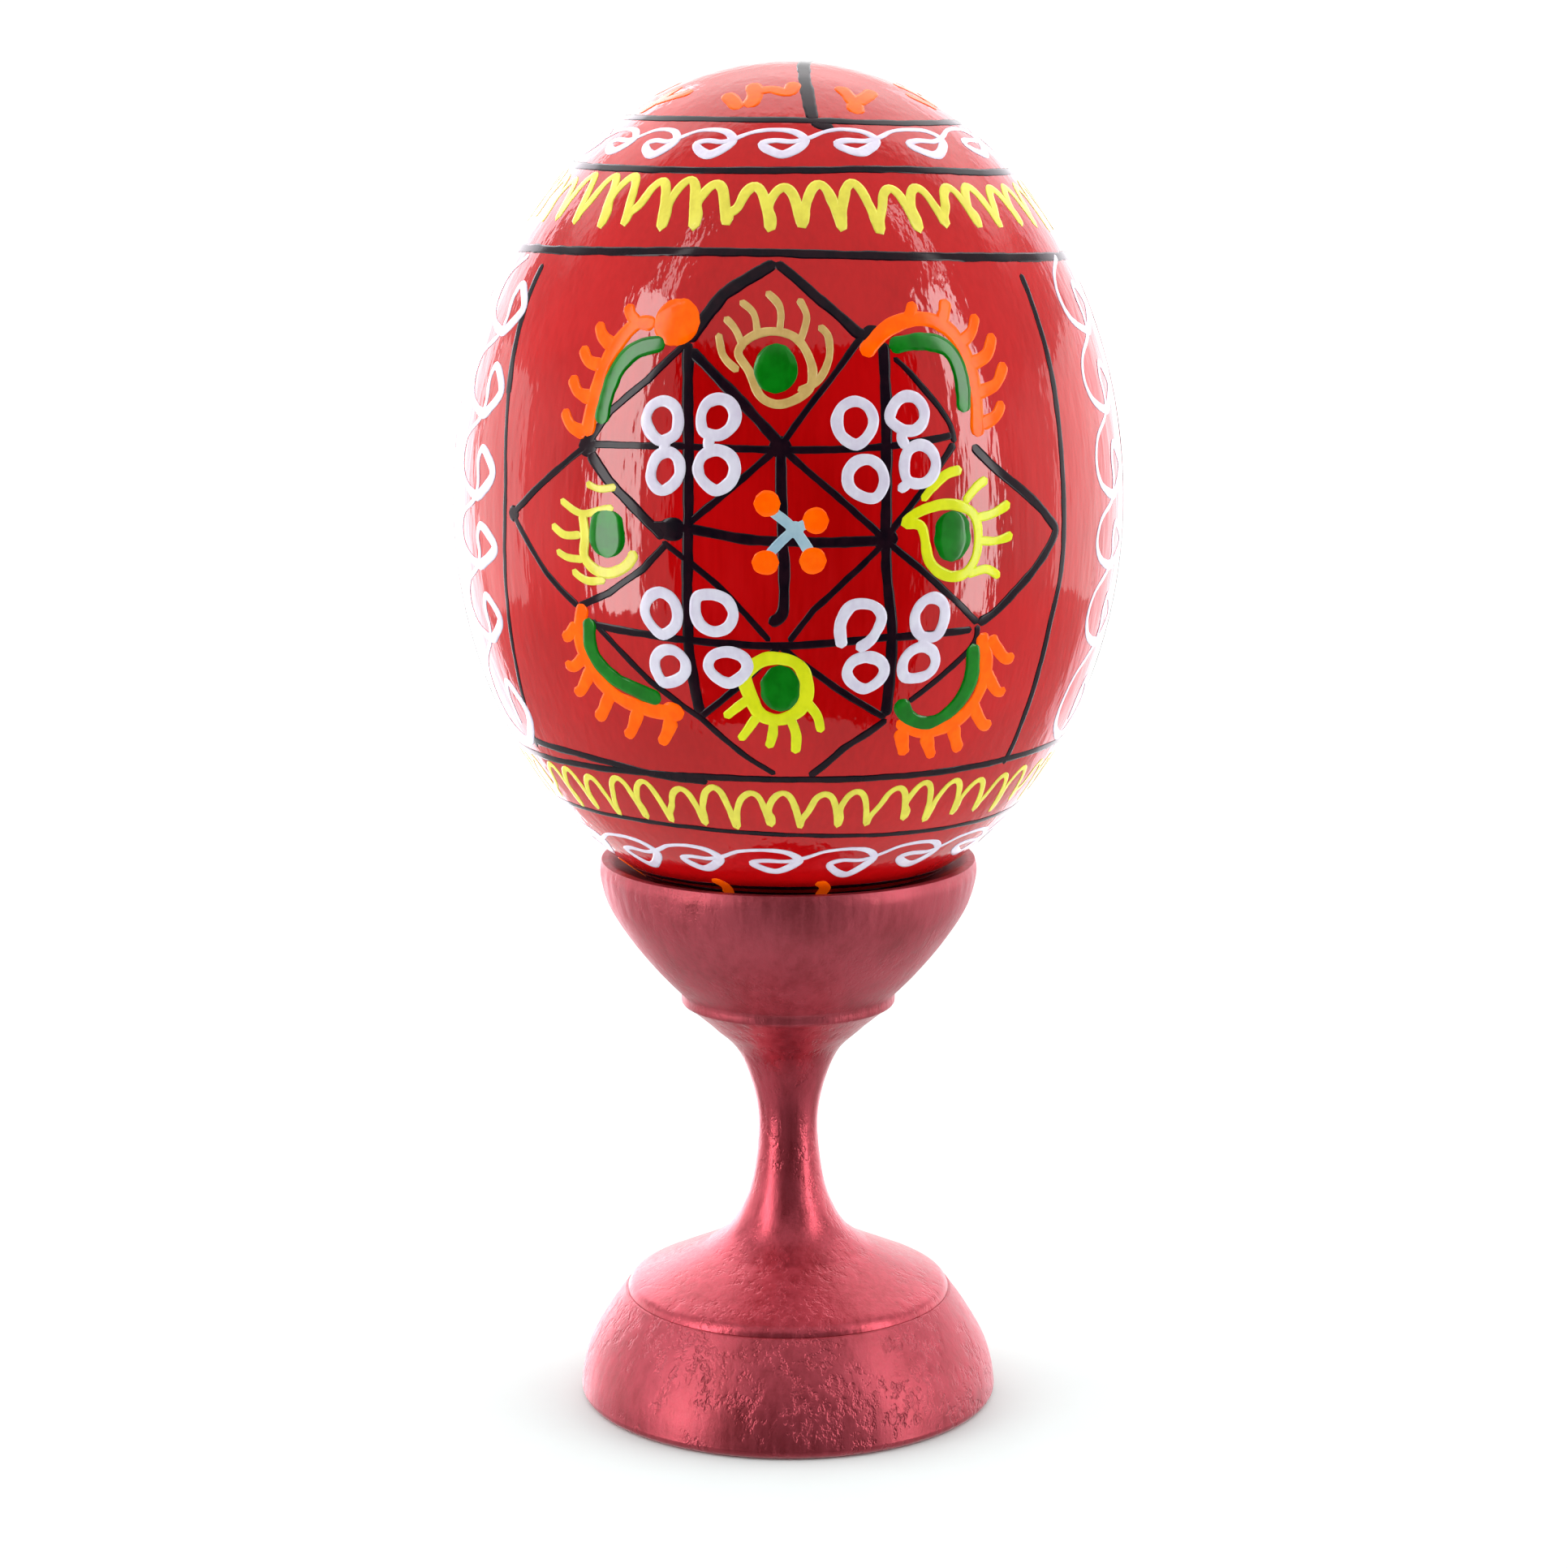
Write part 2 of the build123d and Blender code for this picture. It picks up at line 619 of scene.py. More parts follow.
@dataclass(frozen=True)
class Brush:
    """Lays strokes on the egg as thin raised paint that follows its surface."""

    egg: EggShape
    step_mm: float = 0.16
    wobble_mm: float = 0.16
    wobble_scale: float = 420.0
    uneven: float = 0.3
    sides: int = 10
    edge_power: float = 0.3
    uneven_scale: float = 650.0
    blunt: float = 0.06
    TREE: ClassVar[str] = "paint_on_egg"
    NUMBERS: ClassVar[tuple[str, ...]] = (
        "Half Width", "Lower", "Upper", "Centre Height", "Step", "Wobble", "Uneven", "Thickness",
    )

    def tree(self) -> bpy.types.NodeTree:
        """The Geometry Nodes tree that turns chains of edges into paint, built once.

        Returns:
            The tree, with its sizes as named inputs.
        """
        found = bpy.data.node_groups.get(self.TREE)
        if found:
            return found
        tree = bpy.data.node_groups.new(self.TREE, "GeometryNodeTree")
        face = tree.interface
        face.new_socket("Geometry", in_out="INPUT", socket_type="NodeSocketGeometry")
        for name in self.NUMBERS:
            face.new_socket(name, in_out="INPUT", socket_type="NodeSocketFloat")
        face.new_socket("Material", in_out="INPUT", socket_type="NodeSocketMaterial")
        face.new_socket("Geometry", in_out="OUTPUT", socket_type="NodeSocketGeometry")
        bench = NodeBench(tree)
        given = bench.add("NodeGroupInput")
        centre = bench.add("ShaderNodeCombineXYZ", {}, {"Z": given.other("Centre Height")})

        def reach() -> tuple[Wire, Wire, Wire]:
            """Direction from the egg's centre, distance from it, and the surface's distance that way."""
            offset = bench.add("GeometryNodeInputPosition") - centre
            rise = bench.add("ShaderNodeSeparateXYZ", {}, {0: offset}, "Z")
            lower, upper = given.other("Lower"), given.other("Upper")
            half = upper + (lower - upper) * rise.below(0.0)
            wide = given.other("Half Width")
            axes = bench.add("ShaderNodeCombineXYZ", {}, {"X": wide, "Y": wide, "Z": half})
            away = offset.length()
            surface = away / (offset / axes).length()
            return offset * (1.0 / away), away, surface

        def at(geometry: Wire, position: Wire) -> Wire:
            """Moves every point to a position."""
            moved = {"Geometry": geometry, "Position": position}
            return bench.add("GeometryNodeSetPosition", {}, moved)

        named = "GeometryNodeInputNamedAttribute"
        bends = bench.add(named, {"data_type": "BOOLEAN"}, {"Name": "bends"})
        half_width = bench.add(named, {"data_type": "FLOAT"}, {"Name": "half_width"})
        lines = bench.add("GeometryNodeMeshToCurve", {}, {"Mesh": given.other("Geometry")})
        rounded = {"Curve": lines, "Selection": bends}
        lines = bench.add("GeometryNodeCurveSplineType", {"spline_type": "CATMULL_ROM"}, rounded)
        steps = {"Curve": lines, "Length": given.other("Step")}
        lines = bench.add("GeometryNodeResampleCurve", {"mode": "LENGTH"}, steps)
        spot = bench.add("GeometryNodeInputPosition")
        drift = bench.noise(spot, self.wobble_scale, 2.0).other("Color") - (0.5, 0.5, 0.5)
        lines = at(lines, spot + drift * given.other("Wobble"))
        way, _, surface = reach()
        lines = at(lines, centre + way * surface)
        way, _, _ = reach()
        facing = {"Curve": lines, "Normal": way}
        lines = bench.add("GeometryNodeSetCurveNormal", {"mode": "FREE"}, facing)

        from_start = bench.add("GeometryNodeSplineParameter", output="Length")
        to_end = bench.add("GeometryNodeSplineLength") - from_start
        near_end = (from_start.least(to_end) / half_width).least(1.0).most(0.0)
        rounding = (near_end * (2.0 - near_end)).root().most(self.blunt)
        endless = bench.add("GeometryNodeInputSplineCyclic")
        pressure = bench.noise(bench.add("GeometryNodeInputPosition"), self.uneven_scale, 2.0) - 0.5
        swell = 1.0 + pressure * given.other("Uneven") * 2.0
        radius = half_width * swell * rounding.most(endless)
        ring = {"Resolution": self.sides, "Radius": 1.0}
        ring = bench.add("GeometryNodeCurvePrimitiveCircle", {}, ring)
        sweep = {"Curve": lines, "Profile Curve": ring, "Scale": radius, "Fill Caps": True}
        paint = bench.add("GeometryNodeCurveToMesh", {}, sweep)
        way, away, surface = reach()
        above = (away - surface) / half_width
        lift = above.sign() * above.size() ** self.edge_power * given.other("Thickness")
        paint = at(paint, centre + way * (surface + lift))
        paint = bench.add("GeometryNodeSetShadeSmooth", {}, {"Geometry": paint})
        paint = bench.add("GeometryNodeRealizeInstances", {}, {"Geometry": paint})
        finish = {"Geometry": paint, "Material": given.other("Material")}
        paint = bench.add("GeometryNodeSetMaterial", {}, finish)
        bench.add("NodeGroupOutput", {}, {"Geometry": paint})
        return tree

    def guide(self, name: str, strokes: Iterable[Stroke]) -> bpy.types.Object:
        """The strokes as bare chains of edges.

        Args:
            name: name of the piece.
            strokes: what to paint.

        Returns:
            The object that the tree works on.
        """
        points: list[Vector] = []
        edges: list[tuple[int, int]] = []
        half_widths: list[float] = []
        bends: list[bool] = []
        for stroke in strokes:
            first = len(points)
            points += [self.egg.point(spot) for spot in stroke.spots]
            edges += [(index, index + 1) for index in range(first, len(points) - 1)]
            if stroke.closed:
                edges.append((len(points) - 1, first))
            half_widths += stroke.half_widths()
            bends += [stroke.bends] * len(stroke.spots)
        mesh = bpy.data.meshes.new(name)
        mesh.from_pydata(points, edges, [])
        mesh.attributes.new("half_width", "FLOAT", "POINT").data.foreach_set("value", half_widths)
        mesh.attributes.new("bends", "BOOLEAN", "POINT").data.foreach_set("value", bends)
        return placed(name, mesh)

    def paint(self, name: str, pot: Pot, strokes: Iterable[Stroke]) -> bpy.types.Object:
        """Paints strokes from one pot as one piece that goes with the egg.

        Args:
            name: name of the piece.
            pot: which paint.
            strokes: what to paint.

        Returns:
            The finished piece.
        """
        made = self.guide(name, strokes)
        tree = self.tree()
        modifier = made.modifiers.new("paint", "NODES")
        modifier.node_group = tree
        sizes = {
            "Half Width": self.egg.half_width,
            "Lower": self.egg.lower,
            "Upper": self.egg.upper,
            "Centre Height": self.egg.centre_height,
            "Step": self.step_mm * MM,
            "Wobble": self.wobble_mm * MM,
            "Uneven": self.uneven,
            "Thickness": pot.thickness,
            "Material": pot.finish.material(),
        }
        for item in tree.interface.items_tree:
            if item.in_out == "INPUT" and item.name in sizes:
                modifier[item.identifier] = sizes[item.name]
        plain_mesh(made)
        report(made)
        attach(made, "egg")
        return made


# Mesh helpers


def placed(name: str, data: bpy.types.ID) -> bpy.types.Object:
    """Puts a mesh, a light or a camera in the scene as an object.

    Args:
        name: the object's name.
        data: what it shows.

    Returns:
        The object.
    """
    made = bpy.data.objects.new(name, data)
    bpy.context.scene.collection.objects.link(made)
    return made


def plain_mesh(made: bpy.types.Object) -> None:
    """Turns an object's modifiers into a plain mesh with its faces outwards.

    Args:
        made: the object to settle.
    """
    view = bpy.context.evaluated_depsgraph_get()
    old = made.data
    made.data = bpy.data.meshes.new_from_object(made.evaluated_get(view), depsgraph=view)
    made.modifiers.clear()
    bpy.data.meshes.remove(old)
    made.data.name = made.name
    face_outwards(made.data)


def face_outwards(mesh: bpy.types.Mesh) -> None:
    """Merges doubled points and turns every face outwards.

    Args:
        mesh: the mesh to settle.
    """
    shape = bmesh.new()
    shape.from_mesh(mesh)
    bmesh.ops.remove_doubles(shape, verts=shape.verts, dist=1e-7)
    bmesh.ops.recalc_face_normals(shape, faces=shape.faces)
    shape.to_mesh(mesh)
    shape.free()
    mesh.shade_smooth()


def turned_mesh(
    name: str,
    outline: Sequence[Corner],
    sides: int,
    relief: Callable[[Vector], float],
) -> bpy.types.Object:
    """Turns an outline that starts and ends on the axis into a closed mesh.

    Args:
        name: name of the piece.
        outline: points (radius, height) in metres, from the axis to the axis.
        sides: faces round the axis.
        relief: extra radius at a place.

    Returns:
        The object.
    """
    points = [Vector((0.0, 0.0, outline[0][1]))]
    for radius, height in outline[1:-1]:
        for side in range(sides):
            turn = 2 * math.pi * side / sides
            place = Vector((radius * math.sin(turn), -radius * math.cos(turn), height))
            grow = 1 + relief(place) / radius
            points.append(Vector((place.x * grow, place.y * grow, height)))
    points.append(Vector((0.0, 0.0, outline[-1][1])))
    rows = len(outline) - 2
    last = len(points) - 1
    faces: list[tuple[int, ...]] = []
    for side in range(sides):
        after = (side + 1) % sides
        faces.append((0, 1 + side, 1 + after))
        for row in range(rows - 1):
            here = 1 + row * sides
            faces.append((here + side, here + sides + side, here + sides + after, here + after))
        end = 1 + (rows - 1) * sides
        faces.append((last, end + after, end + side))
    mesh = bpy.data.meshes.new(name)
    mesh.from_pydata(points, [], faces)
    face_outwards(mesh)
    return placed(name, mesh)


def bent_line(points: Sequence[Corner], steps: int) -> list[Corner]:
    """A smooth line through points.

    Args:
        points: (radius, height) points in millimetres.
        steps: pieces between two points.

    Returns:
        Points in millimetres, without the last one.
    """
    padded = [points[0], *points, points[-1]]
    line: list[Corner] = []
    for before, start, end, after in zip(padded, padded[1:], padded[2:], padded[3:]):
        for step in range(steps):
            t = step / steps
            place = []
            for a, b, c, d in zip(before, start, end, after):
                pull = (2 * a - 5 * b + 4 * c - d) * t * t
                place.append(0.5 * (2 * b + (c - a) * t + pull + (3 * b - a - 3 * c + d) * t**3))
            line.append((place[0], place[1]))
    return line


def straight_line(start: Corner, end: Corner, steps: int) -> list[Corner]:
    """A straight run of points in millimetres, without the last one."""
    shares = [step / steps for step in range(steps)]
    return [(start[0] + (end[0] - start[0]) * t, start[1] + (end[1] - start[1]) * t) for t in shares]


def report(made: bpy.types.Object) -> None:
    """Logs a piece and how many triangles it has."""
    triangles = sum(len(face.vertices) - 2 for face in made.data.polygons)
    log.info("%s: %d triangles", made.name, triangles)


# Patterns


def ring(
    height: float,
    width: float,
    sway: float,
    start: float = 0.0,
    lift: float = 0.0,
    bow: float = 0.0,
) -> Stroke:
    """A line right round the egg.

    Args:
        height: millimetres above the lower tip.
        width: millimetres.
        sway: how far it wanders up and down, in millimetres.
        start: seed of its wander.
        lift: how much higher its left side is than its right, in millimetres.
        bow: how much higher it runs at the front and back than at the sides.

    Returns:
        The closed stroke.
    """
    spots = []
    for turn in range(0, 360, 10):
        angle = math.radians(turn)
        wander = noise.noise(Vector((math.cos(angle), math.sin(angle), start))) * sway
        raised = bow * math.cos(angle) ** 2 - lift * math.sin(angle) / 2
        spots.append((float(turn), height + wander + raised))
    return Stroke(tuple(spots), width, closed=True)


ZIGZAG = ((0.04, 0.50), (0.22, 0.86), (0.46, 1.0), (0.68, 0.86), (0.84, 0.45), (0.95, 0.0), (1.0, 0.22))
"""One tooth of the yellow zigzags: an arch, a long stroke down and half of it back up."""


def zigzag(low: float, high: float, pitch: float, width: float, seed: int, slope: float = 0.0) -> Stroke:
    """A brushed zigzag right round the egg with rounded turns.

    Args:
        low: height of its lower turns in millimetres.
        high: height of its upper turns.
        pitch: degrees from one tooth to the next.
        width: millimetres.
        seed: seed of its unevenness.
        slope: how much higher its left side is than its right.

    Returns:
        The closed stroke.
    """
    hand = random.Random(seed)
    teeth = round(360 / pitch)
    step = 360 / teeth
    spots = []
    for tooth in range(teeth):
        turn = step * (tooth + hand.uniform(-0.12, 0.12)) - 180
        tilt = -slope * math.sin(math.radians(turn)) / 2
        top = high + tilt + hand.uniform(-0.25, 0.25)
        bottom = low + tilt + hand.uniform(-0.25, 0.25)
        for along, rise in ZIGZAG:
            spots.append((turn + step * along, bottom + (top - bottom) * rise))
    return Stroke(tuple(spots), width, closed=True)


CURL = (
    (0.00, 0.00, 0.75),
    (0.24, 0.40, 0.65),
    (0.54, 0.52, 0.75),
    (0.80, 0.36, 1.0),
    (0.94, -0.12, 1.3),
    (0.84, -0.62, 1.5),
    (0.64, -1.02, 1.5),
    (0.44, -0.72, 1.4),
    (0.36, -0.36, 1.1),
    (0.52, -0.18, 0.9),
    (0.78, -0.24, 0.85),
)
"""One curl of the white chains: along, across, and width, each as a share."""


def curls(
    starts: Sequence[float], close: float, size: float, width: float, seed: int
) -> list[tuple[float, float, float]]:
    """A chain of curls along a line.

    Args:
        starts: where each curl starts along the line.
        close: where the last curl ends.
        size: half of the chain's breadth.
        width: width of the thinnest stroke.
        seed: seed of its unevenness.

    Returns:
        Places (along, across, width).
    """
    hand = random.Random(seed)
    ends = [*starts[1:], close]
    chain = []
    for start, end in zip(starts, ends):
        drop = hand.uniform(0.85, 1.2)
        for along, across, share in CURL:
            tall = across * (drop if across < 0 else 1.0)
            chain.append((start + (end - start) * along, tall * size, width * share))
    return chain


def curl_ring(height: float, starts: Sequence[float], size: float, width: float, seed: int) -> Stroke:
    """A chain of curls right round the egg.

    Args:
        height: its middle, in millimetres above the lower tip.
        starts: degrees where each curl starts, in order.
        size: half of its breadth in millimetres.
        width: width of its thinnest stroke.
        seed: seed of its unevenness.

    Returns:
        The closed stroke.
    """
    chain = curls(starts, starts[0] + 360, size, width, seed)
    spots = tuple((along, height + across) for along, across, _ in chain)
    return Stroke(spots, closed=True, widths=tuple(thick for _, _, thick in chain))


def dot(egg: EggShape, spot: Spot, radius: float, tall: float = 0.0) -> Stroke:
    """A round or upright oval blot.

    Args:
        egg: the egg that it is on.
        spot: its middle.
        radius: half of its width in millimetres.
        tall: half of its height, or 0 for a round one.

    Returns:
        The stroke.
    """
    turn, height = spot
    reach = tall or radius
    if tall:
        return Stroke(((turn, height - reach), (turn, height), (turn, height + reach)), radius * 2)
    side = egg.degrees(reach, height)
    return Stroke(((turn - side, height), (turn, height), (turn + side, height)), radius * 2)


def ringlet(
    egg: EggShape, spot: Spot, wide: float, tall: float, width: float, point: float, lean: float
) -> Stroke:
    """A small hand-drawn ring with one pointed corner.

    Args:
        egg: the egg that it is on.
        spot: its middle.
        wide: half of its width along the middle of the stroke, in millimetres.
        tall: half of its height.
        width: width of the stroke.
        point: direction of the pointed corner, in degrees from sideways.
        lean: degrees that it leans over.

    Returns:
        The closed stroke.
    """
    spots = []
    corner_reach = 0.26
    tilt = math.radians(lean)
    for turn in range(0, 360, 45):
        angle = math.radians(turn)
        near = max(0.0, math.cos(angle - math.radians(point)))
        reach = 1.0 + corner_reach * near**6
        x, y = wide * reach * math.cos(angle), tall * reach * math.sin(angle)
        x, y = x * math.cos(tilt) - y * math.sin(tilt), x * math.sin(tilt) + y * math.cos(tilt)
        spots.append((spot[0] + egg.degrees(x, spot[1]), spot[1] + y))
    return Stroke(tuple(spots), width, closed=True)


# The painted parts


@dataclass(frozen=True)
class EggSkin:
    """The turned wooden egg itself, with the faint upright ripple that scraping leaves."""

    egg: EggShape
    sides: int = 384
    rows: int = 236
    ripple_mm: float = 0.016

    def ripple(self, place: Vector) -> float:
        """Extra radius at a place, in metres; never above zero, so that the paint stays on top."""
        coarse = noise.noise(Vector((place.x * 850, place.y * 850, place.z * 160)))
        return -(0.5 + coarse / 2) * self.ripple_mm * MM

    def build(self) -> bpy.types.Object:
        """Builds and dresses the egg.

        Returns:
            The piece that stands for the CAD egg.
        """
        outline = []
        for row in range(self.rows + 1):
            angle = math.pi * (row / self.rows - 0.5)
            half = self.egg.lower if angle < 0 else self.egg.upper
            height = self.egg.centre_height + half * math.sin(angle)
            outline.append((self.egg.half_width * math.cos(angle), height))
        made = turned_mesh("egg_skin", outline, self.sides, self.ripple)
        made.data.materials.append(RedLacquer("lacquered_wood").material())
        report(made)
        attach(made, "egg")
        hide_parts("egg")
        return made


@dataclass(frozen=True)
class Bands:
    """Black rings, yellow zigzags and white curl chains above and below the panels."""

    brush: Brush
    top_ring: float = 56.0
    upper_ring: float = 52.8
    shoulder_ring: float = 47.0
    lower_ring: float = 13.2
    bottom_ring: float = 8.9
    top_curls: float = 54.85
    bottom_curls: float = 6.95
    curl_pitch: float = 21.0

    def curl_starts(self, known: Sequence[float]) -> list[float]:
        """Starts for a whole ring of curls, even where none is given.

        Args:
            known: starts near the front, in order.

        Returns:
            Starts that go once round.
        """
        gap = known[0] + 360 - known[-1]
        count = round(gap / self.curl_pitch)
        return [*known, *(known[-1] + gap * step / count for step in range(1, count))]

    def build(self) -> None:
        """Paints the bands."""
        black = [
            ring(self.top_ring, 0.62, 0.3, 1.0, 0.3),
            ring(self.upper_ring, 0.62, 0.3, 2.0, 0.5),
            ring(self.shoulder_ring, 0.66, 0.35, 3.0, 0.5, 0.6),
            ring(self.lower_ring, 0.55, 0.4, 4.0),
            ring(self.bottom_ring, 0.42, 0.4, 5.0, 0.8),
            Stroke(((-62, 14.2), (-50, 14.0), (-38, 13.7), (-26, 13.1), (-16, 12.9)), 0.6),
        ]
        self.brush.paint("band_rings", Pot.BLACK, black)
        upper = zigzag(49.2, 51.9, 8.0, 0.72, 11, 0.6)
        lower = zigzag(9.6, 12.3, 7.4, 0.48, 12, 0.2)
        self.brush.paint("band_zigzags", Pot.YELLOW, [upper, lower])
        top = self.curl_starts((-69, -50, -33, -15, 6, 27, 52, 76))
        bottom = self.curl_starts((-58, -36, -17, 4, 24, 44, 66))
        chains = [
            curl_ring(self.top_curls, top, 1.0, 0.52, 21),
            curl_ring(self.bottom_curls, bottom, 1.3, 0.5, 22),
        ]
        self.brush.paint("band_curls", Pot.WHITE, chains)


@dataclass(frozen=True)
class PoleCaps:
    """The crossed black strokes and orange sprigs on the top and under the bottom."""

    brush: Brush
    cross_width: float = 0.95
    sprig_width: float = 1.15

    CLIMB: ClassVar[tuple[Spot, ...]] = (
        (8, 56.0), (8, 57.2), (9, 58.6), (13, 59.4), (24, 59.8), (90, 59.95),
    )
    SPRIGS: ClassVar[tuple[tuple[Spot, ...], ...]] = (
        ((-28, 57.7), (-22, 57.2), (-18, 56.7)),
        ((-15, 56.8), (-14, 57.4), (-15, 57.9), (-19, 58.4)),
        ((-15, 57.8), (-8, 58.0), (0, 57.8), (3, 58.5)),
        ((24, 56.4), (25, 56.8), (26, 57.1), (25, 58.2)),
        ((26, 57.1), (34, 57.5), (42, 57.9)),
    )

    def build(self) -> None:
        """Paints both caps."""
        black: list[Stroke] = []
        orange: list[Stroke] = []
        descent = ((180 - turn, height) for turn, height in reversed(self.CLIMB[:-1]))
        top = Stroke((*self.CLIMB, *descent), self.cross_width)
        for turn in (0.0, 90.0):
            near = [(turn, height) for height in (3.4, 1.4, 0.4)]
            far = [(turn + 180, height) for height in (0.4, 1.4, 3.4)]
            black += [top.turned(turn), Stroke((*near, *far), 0.7)]
        black.append(ring(4.2, 0.5, 0.2, 7.0))
        black.append(ring(3.6, 0.5, 0.2, 6.0))
        black.append(Stroke(((8, 56.0), (10, 55.7), (14, 55.5)), self.cross_width))
        for turn in (0.0, 90.0, 180.0, 270.0):
            orange += [Stroke(spots, self.sprig_width).turned(turn) for spots in self.SPRIGS]
        for turn in (-23, 10, 75, 112, 157, 202, 247, 292):
            orange.append(Stroke(((turn - 1, 4.8), (turn + 2, 4.2), (turn + 1, 3.4)), 0.9))
        self.brush.paint("pole_crosses", Pot.BLACK, black)
        self.brush.paint("pole_sprigs", Pot.ORANGE, orange)


@dataclass(frozen=True)
class SideBelts:
    """The upright white chains beside each panel, between thin black lines."""

    brush: Brush
    low: float = 13.5
    high: float = 46.5
    chain_turns: tuple[float, ...] = (-64.8, 69.5, 109.0, 250.5)
    line_turns: tuple[float, ...] = (-82.0, 82.0, 98.0, 262.0)
    pitch: float = 5.2
    loop_reach: float = 2.9
    swoosh_reach: float = 5.4
    chain_width: float = 0.56
    line_width: float = 0.34

    def chain(self, turn: float, seed: int) -> Stroke:
        """One upright chain.

        Args:
            turn: degrees round.
            seed: seed of its unevenness.

        Returns:
            The stroke.
        """
        count = round((self.high - self.low) / self.pitch)
        hand = random.Random(seed)
        starts = [self.high - self.pitch * (step + hand.uniform(-0.1, 0.1)) for step in range(count)]
        chain = curls(starts, self.low, 1.0, self.chain_width, seed)
        spots = []
        for along, across, _ in chain:
            reach = across * (self.swoosh_reach if across > 0 else self.loop_reach)
            spots.append((turn - self.brush.egg.degrees(reach, along), along))
        return Stroke(tuple(spots), widths=tuple(thick for _, _, thick in chain))

    def build(self) -> None:
        """Paints the four chains, their lines and the dots between them."""
        chains = [self.chain(turn, 31 + index) for index, turn in enumerate(self.chain_turns)]
        self.brush.paint("side_chains", Pot.WHITE, chains)
        lines = [
            Stroke(tuple((turn, float(height)) for height in range(13, 48, 4)), self.line_width)
            for turn in self.line_turns
        ]
        self.brush.paint("side_lines", Pot.BLACK, lines)
        dots = []
        for middle in (90.0, 270.0):
            dots += [dot(self.brush.egg, (middle, float(height)), 0.6) for height in range(16, 46, 4)]
        self.brush.paint("side_dots", Pot.ORANGE, dots)


STAR_LINES: tuple[tuple[float, bool, tuple[Spot, ...]], ...] = (
    (0.93, False, ((-2.5, 47.0), (-12, 45), (-17.5, 42))),
    (0.55, False, ((-17.5, 42), (-24, 39.6), (-30.5, 37.5), (-34.5, 35.3))),
    (0.74, False, ((-2.5, 47.0), (4, 45.2), (12, 42.6), (16.5, 42))),
    (0.79, True, ((-17.5, 42), (-16, 33), (-16.5, 22.5), (-15.5, 17.8))),
    (0.79, True, ((16.5, 42), (15.5, 29.5), (17, 23), (17.2, 17.6))),
    (0.74, False, ((-17, 41.5), (-9.5, 39), (-1.5, 35.7))),
    (0.5, True, ((-34.5, 35.3), (-23.5, 35.4), (-1.5, 35.3), (14, 35.4), (27.5, 36))),
    (0.46, False, ((-1.5, 35.5), (6.5, 39.5), (13, 42.5))),
    (0.5, False, ((-1.5, 35.5), (-8, 33.2), (-16, 30.5))),
    (0.5, False, ((-1.5, 35.5), (8, 32.2), (15, 29.6))),
    (0.79, True, ((-1.3, 35.5), (-1.2, 33), (-0.9, 29.5), (-0.7, 26), (-1.2, 24.6), (-3.2, 24.1))),
    (0.7, True, ((-22.5, 30.3), (-16, 30.2), (-6.5, 29.6), (3, 29.4), (14.5, 29.4))),
    (0.5, False, ((-34.5, 35.2), (-51, 30.3), (-43, 26.6), (-36.5, 24.6))),
    (0.5, False, ((-36.5, 24.6), (-30, 25.7), (-23.5, 27.5), (-19.5, 29.2))),
    (0.79, True, ((-34.0, 34.8), (-30, 33.1), (-24, 31), (-20, 29.5))),
    (0.46, True, ((-20.3, 29.3), (-16.5, 28.2), (-12, 26.8), (-8, 25.2), (-3, 22.9))),
    (0.42, True, ((18, 41), (21, 39.9), (26.7, 37), (27.7, 35.5))),
    (0.5, False, ((27.7, 35.5), (21, 32.3), (15.5, 29.6))),
    (0.7, True, ((31, 35.3), (35, 33.8), (46.5, 30.3), (48, 28.6), (37, 24.6), (32.5, 23.6))),
    (0.5, True, ((15.5, 29.4), (21, 27.6), (27, 25.5), (32.5, 23.6))),
    (0.46, False, ((15, 29.2), (4, 25), (0, 22.9))),
    (0.55, True, ((-34, 23.5), (-18.5, 22.9), (-1.5, 22.6), (15.5, 23), (31.5, 23.2))),
    (0.46, False, ((-34, 23.8), (-31, 22.6), (-24, 19.9), (-15.5, 17.5), (-8, 14.9), (-2.5, 13.6))),
    (0.5, False, ((-15.5, 17.6), (-7, 20.3), (-1.5, 22.6))),
    (0.5, False, ((-1.5, 22.6), (8, 19.7), (17.2, 17.5))),
    (0.46, True, ((32.5, 23.5), (32, 22.1), (25.5, 19.8), (21, 18.5))),
    (0.55, False, ((17.5, 17.4), (10, 15.4), (4, 13.4))),
    (0.66, True, ((-57, 46.6), (-57.5, 44), (-56.8, 41), (-55.6, 38))),
    (0.42, True, ((-56, 39), (-54, 34), (-53.4, 31), (-55, 23), (-57.5, 17), (-60.5, 13.6))),
    (0.55, True, ((51, 46), (51.5, 40), (51, 34), (51, 27), (49.5, 22), (48.5, 13))),
)
"""The black lines of a panel: width, whether it bends, and its spots."""

STAR_BLOTS: tuple[tuple[Spot, float], ...] = (
    ((-34.3, 35.2), 0.75),
    ((-1.4, 35.5), 0.75),
    ((15.4, 29.5), 0.85),
    ((-50.8, 30.3), 0.6),
)
"""Round blots on a panel's black lines: middle and radius in millimetres."""

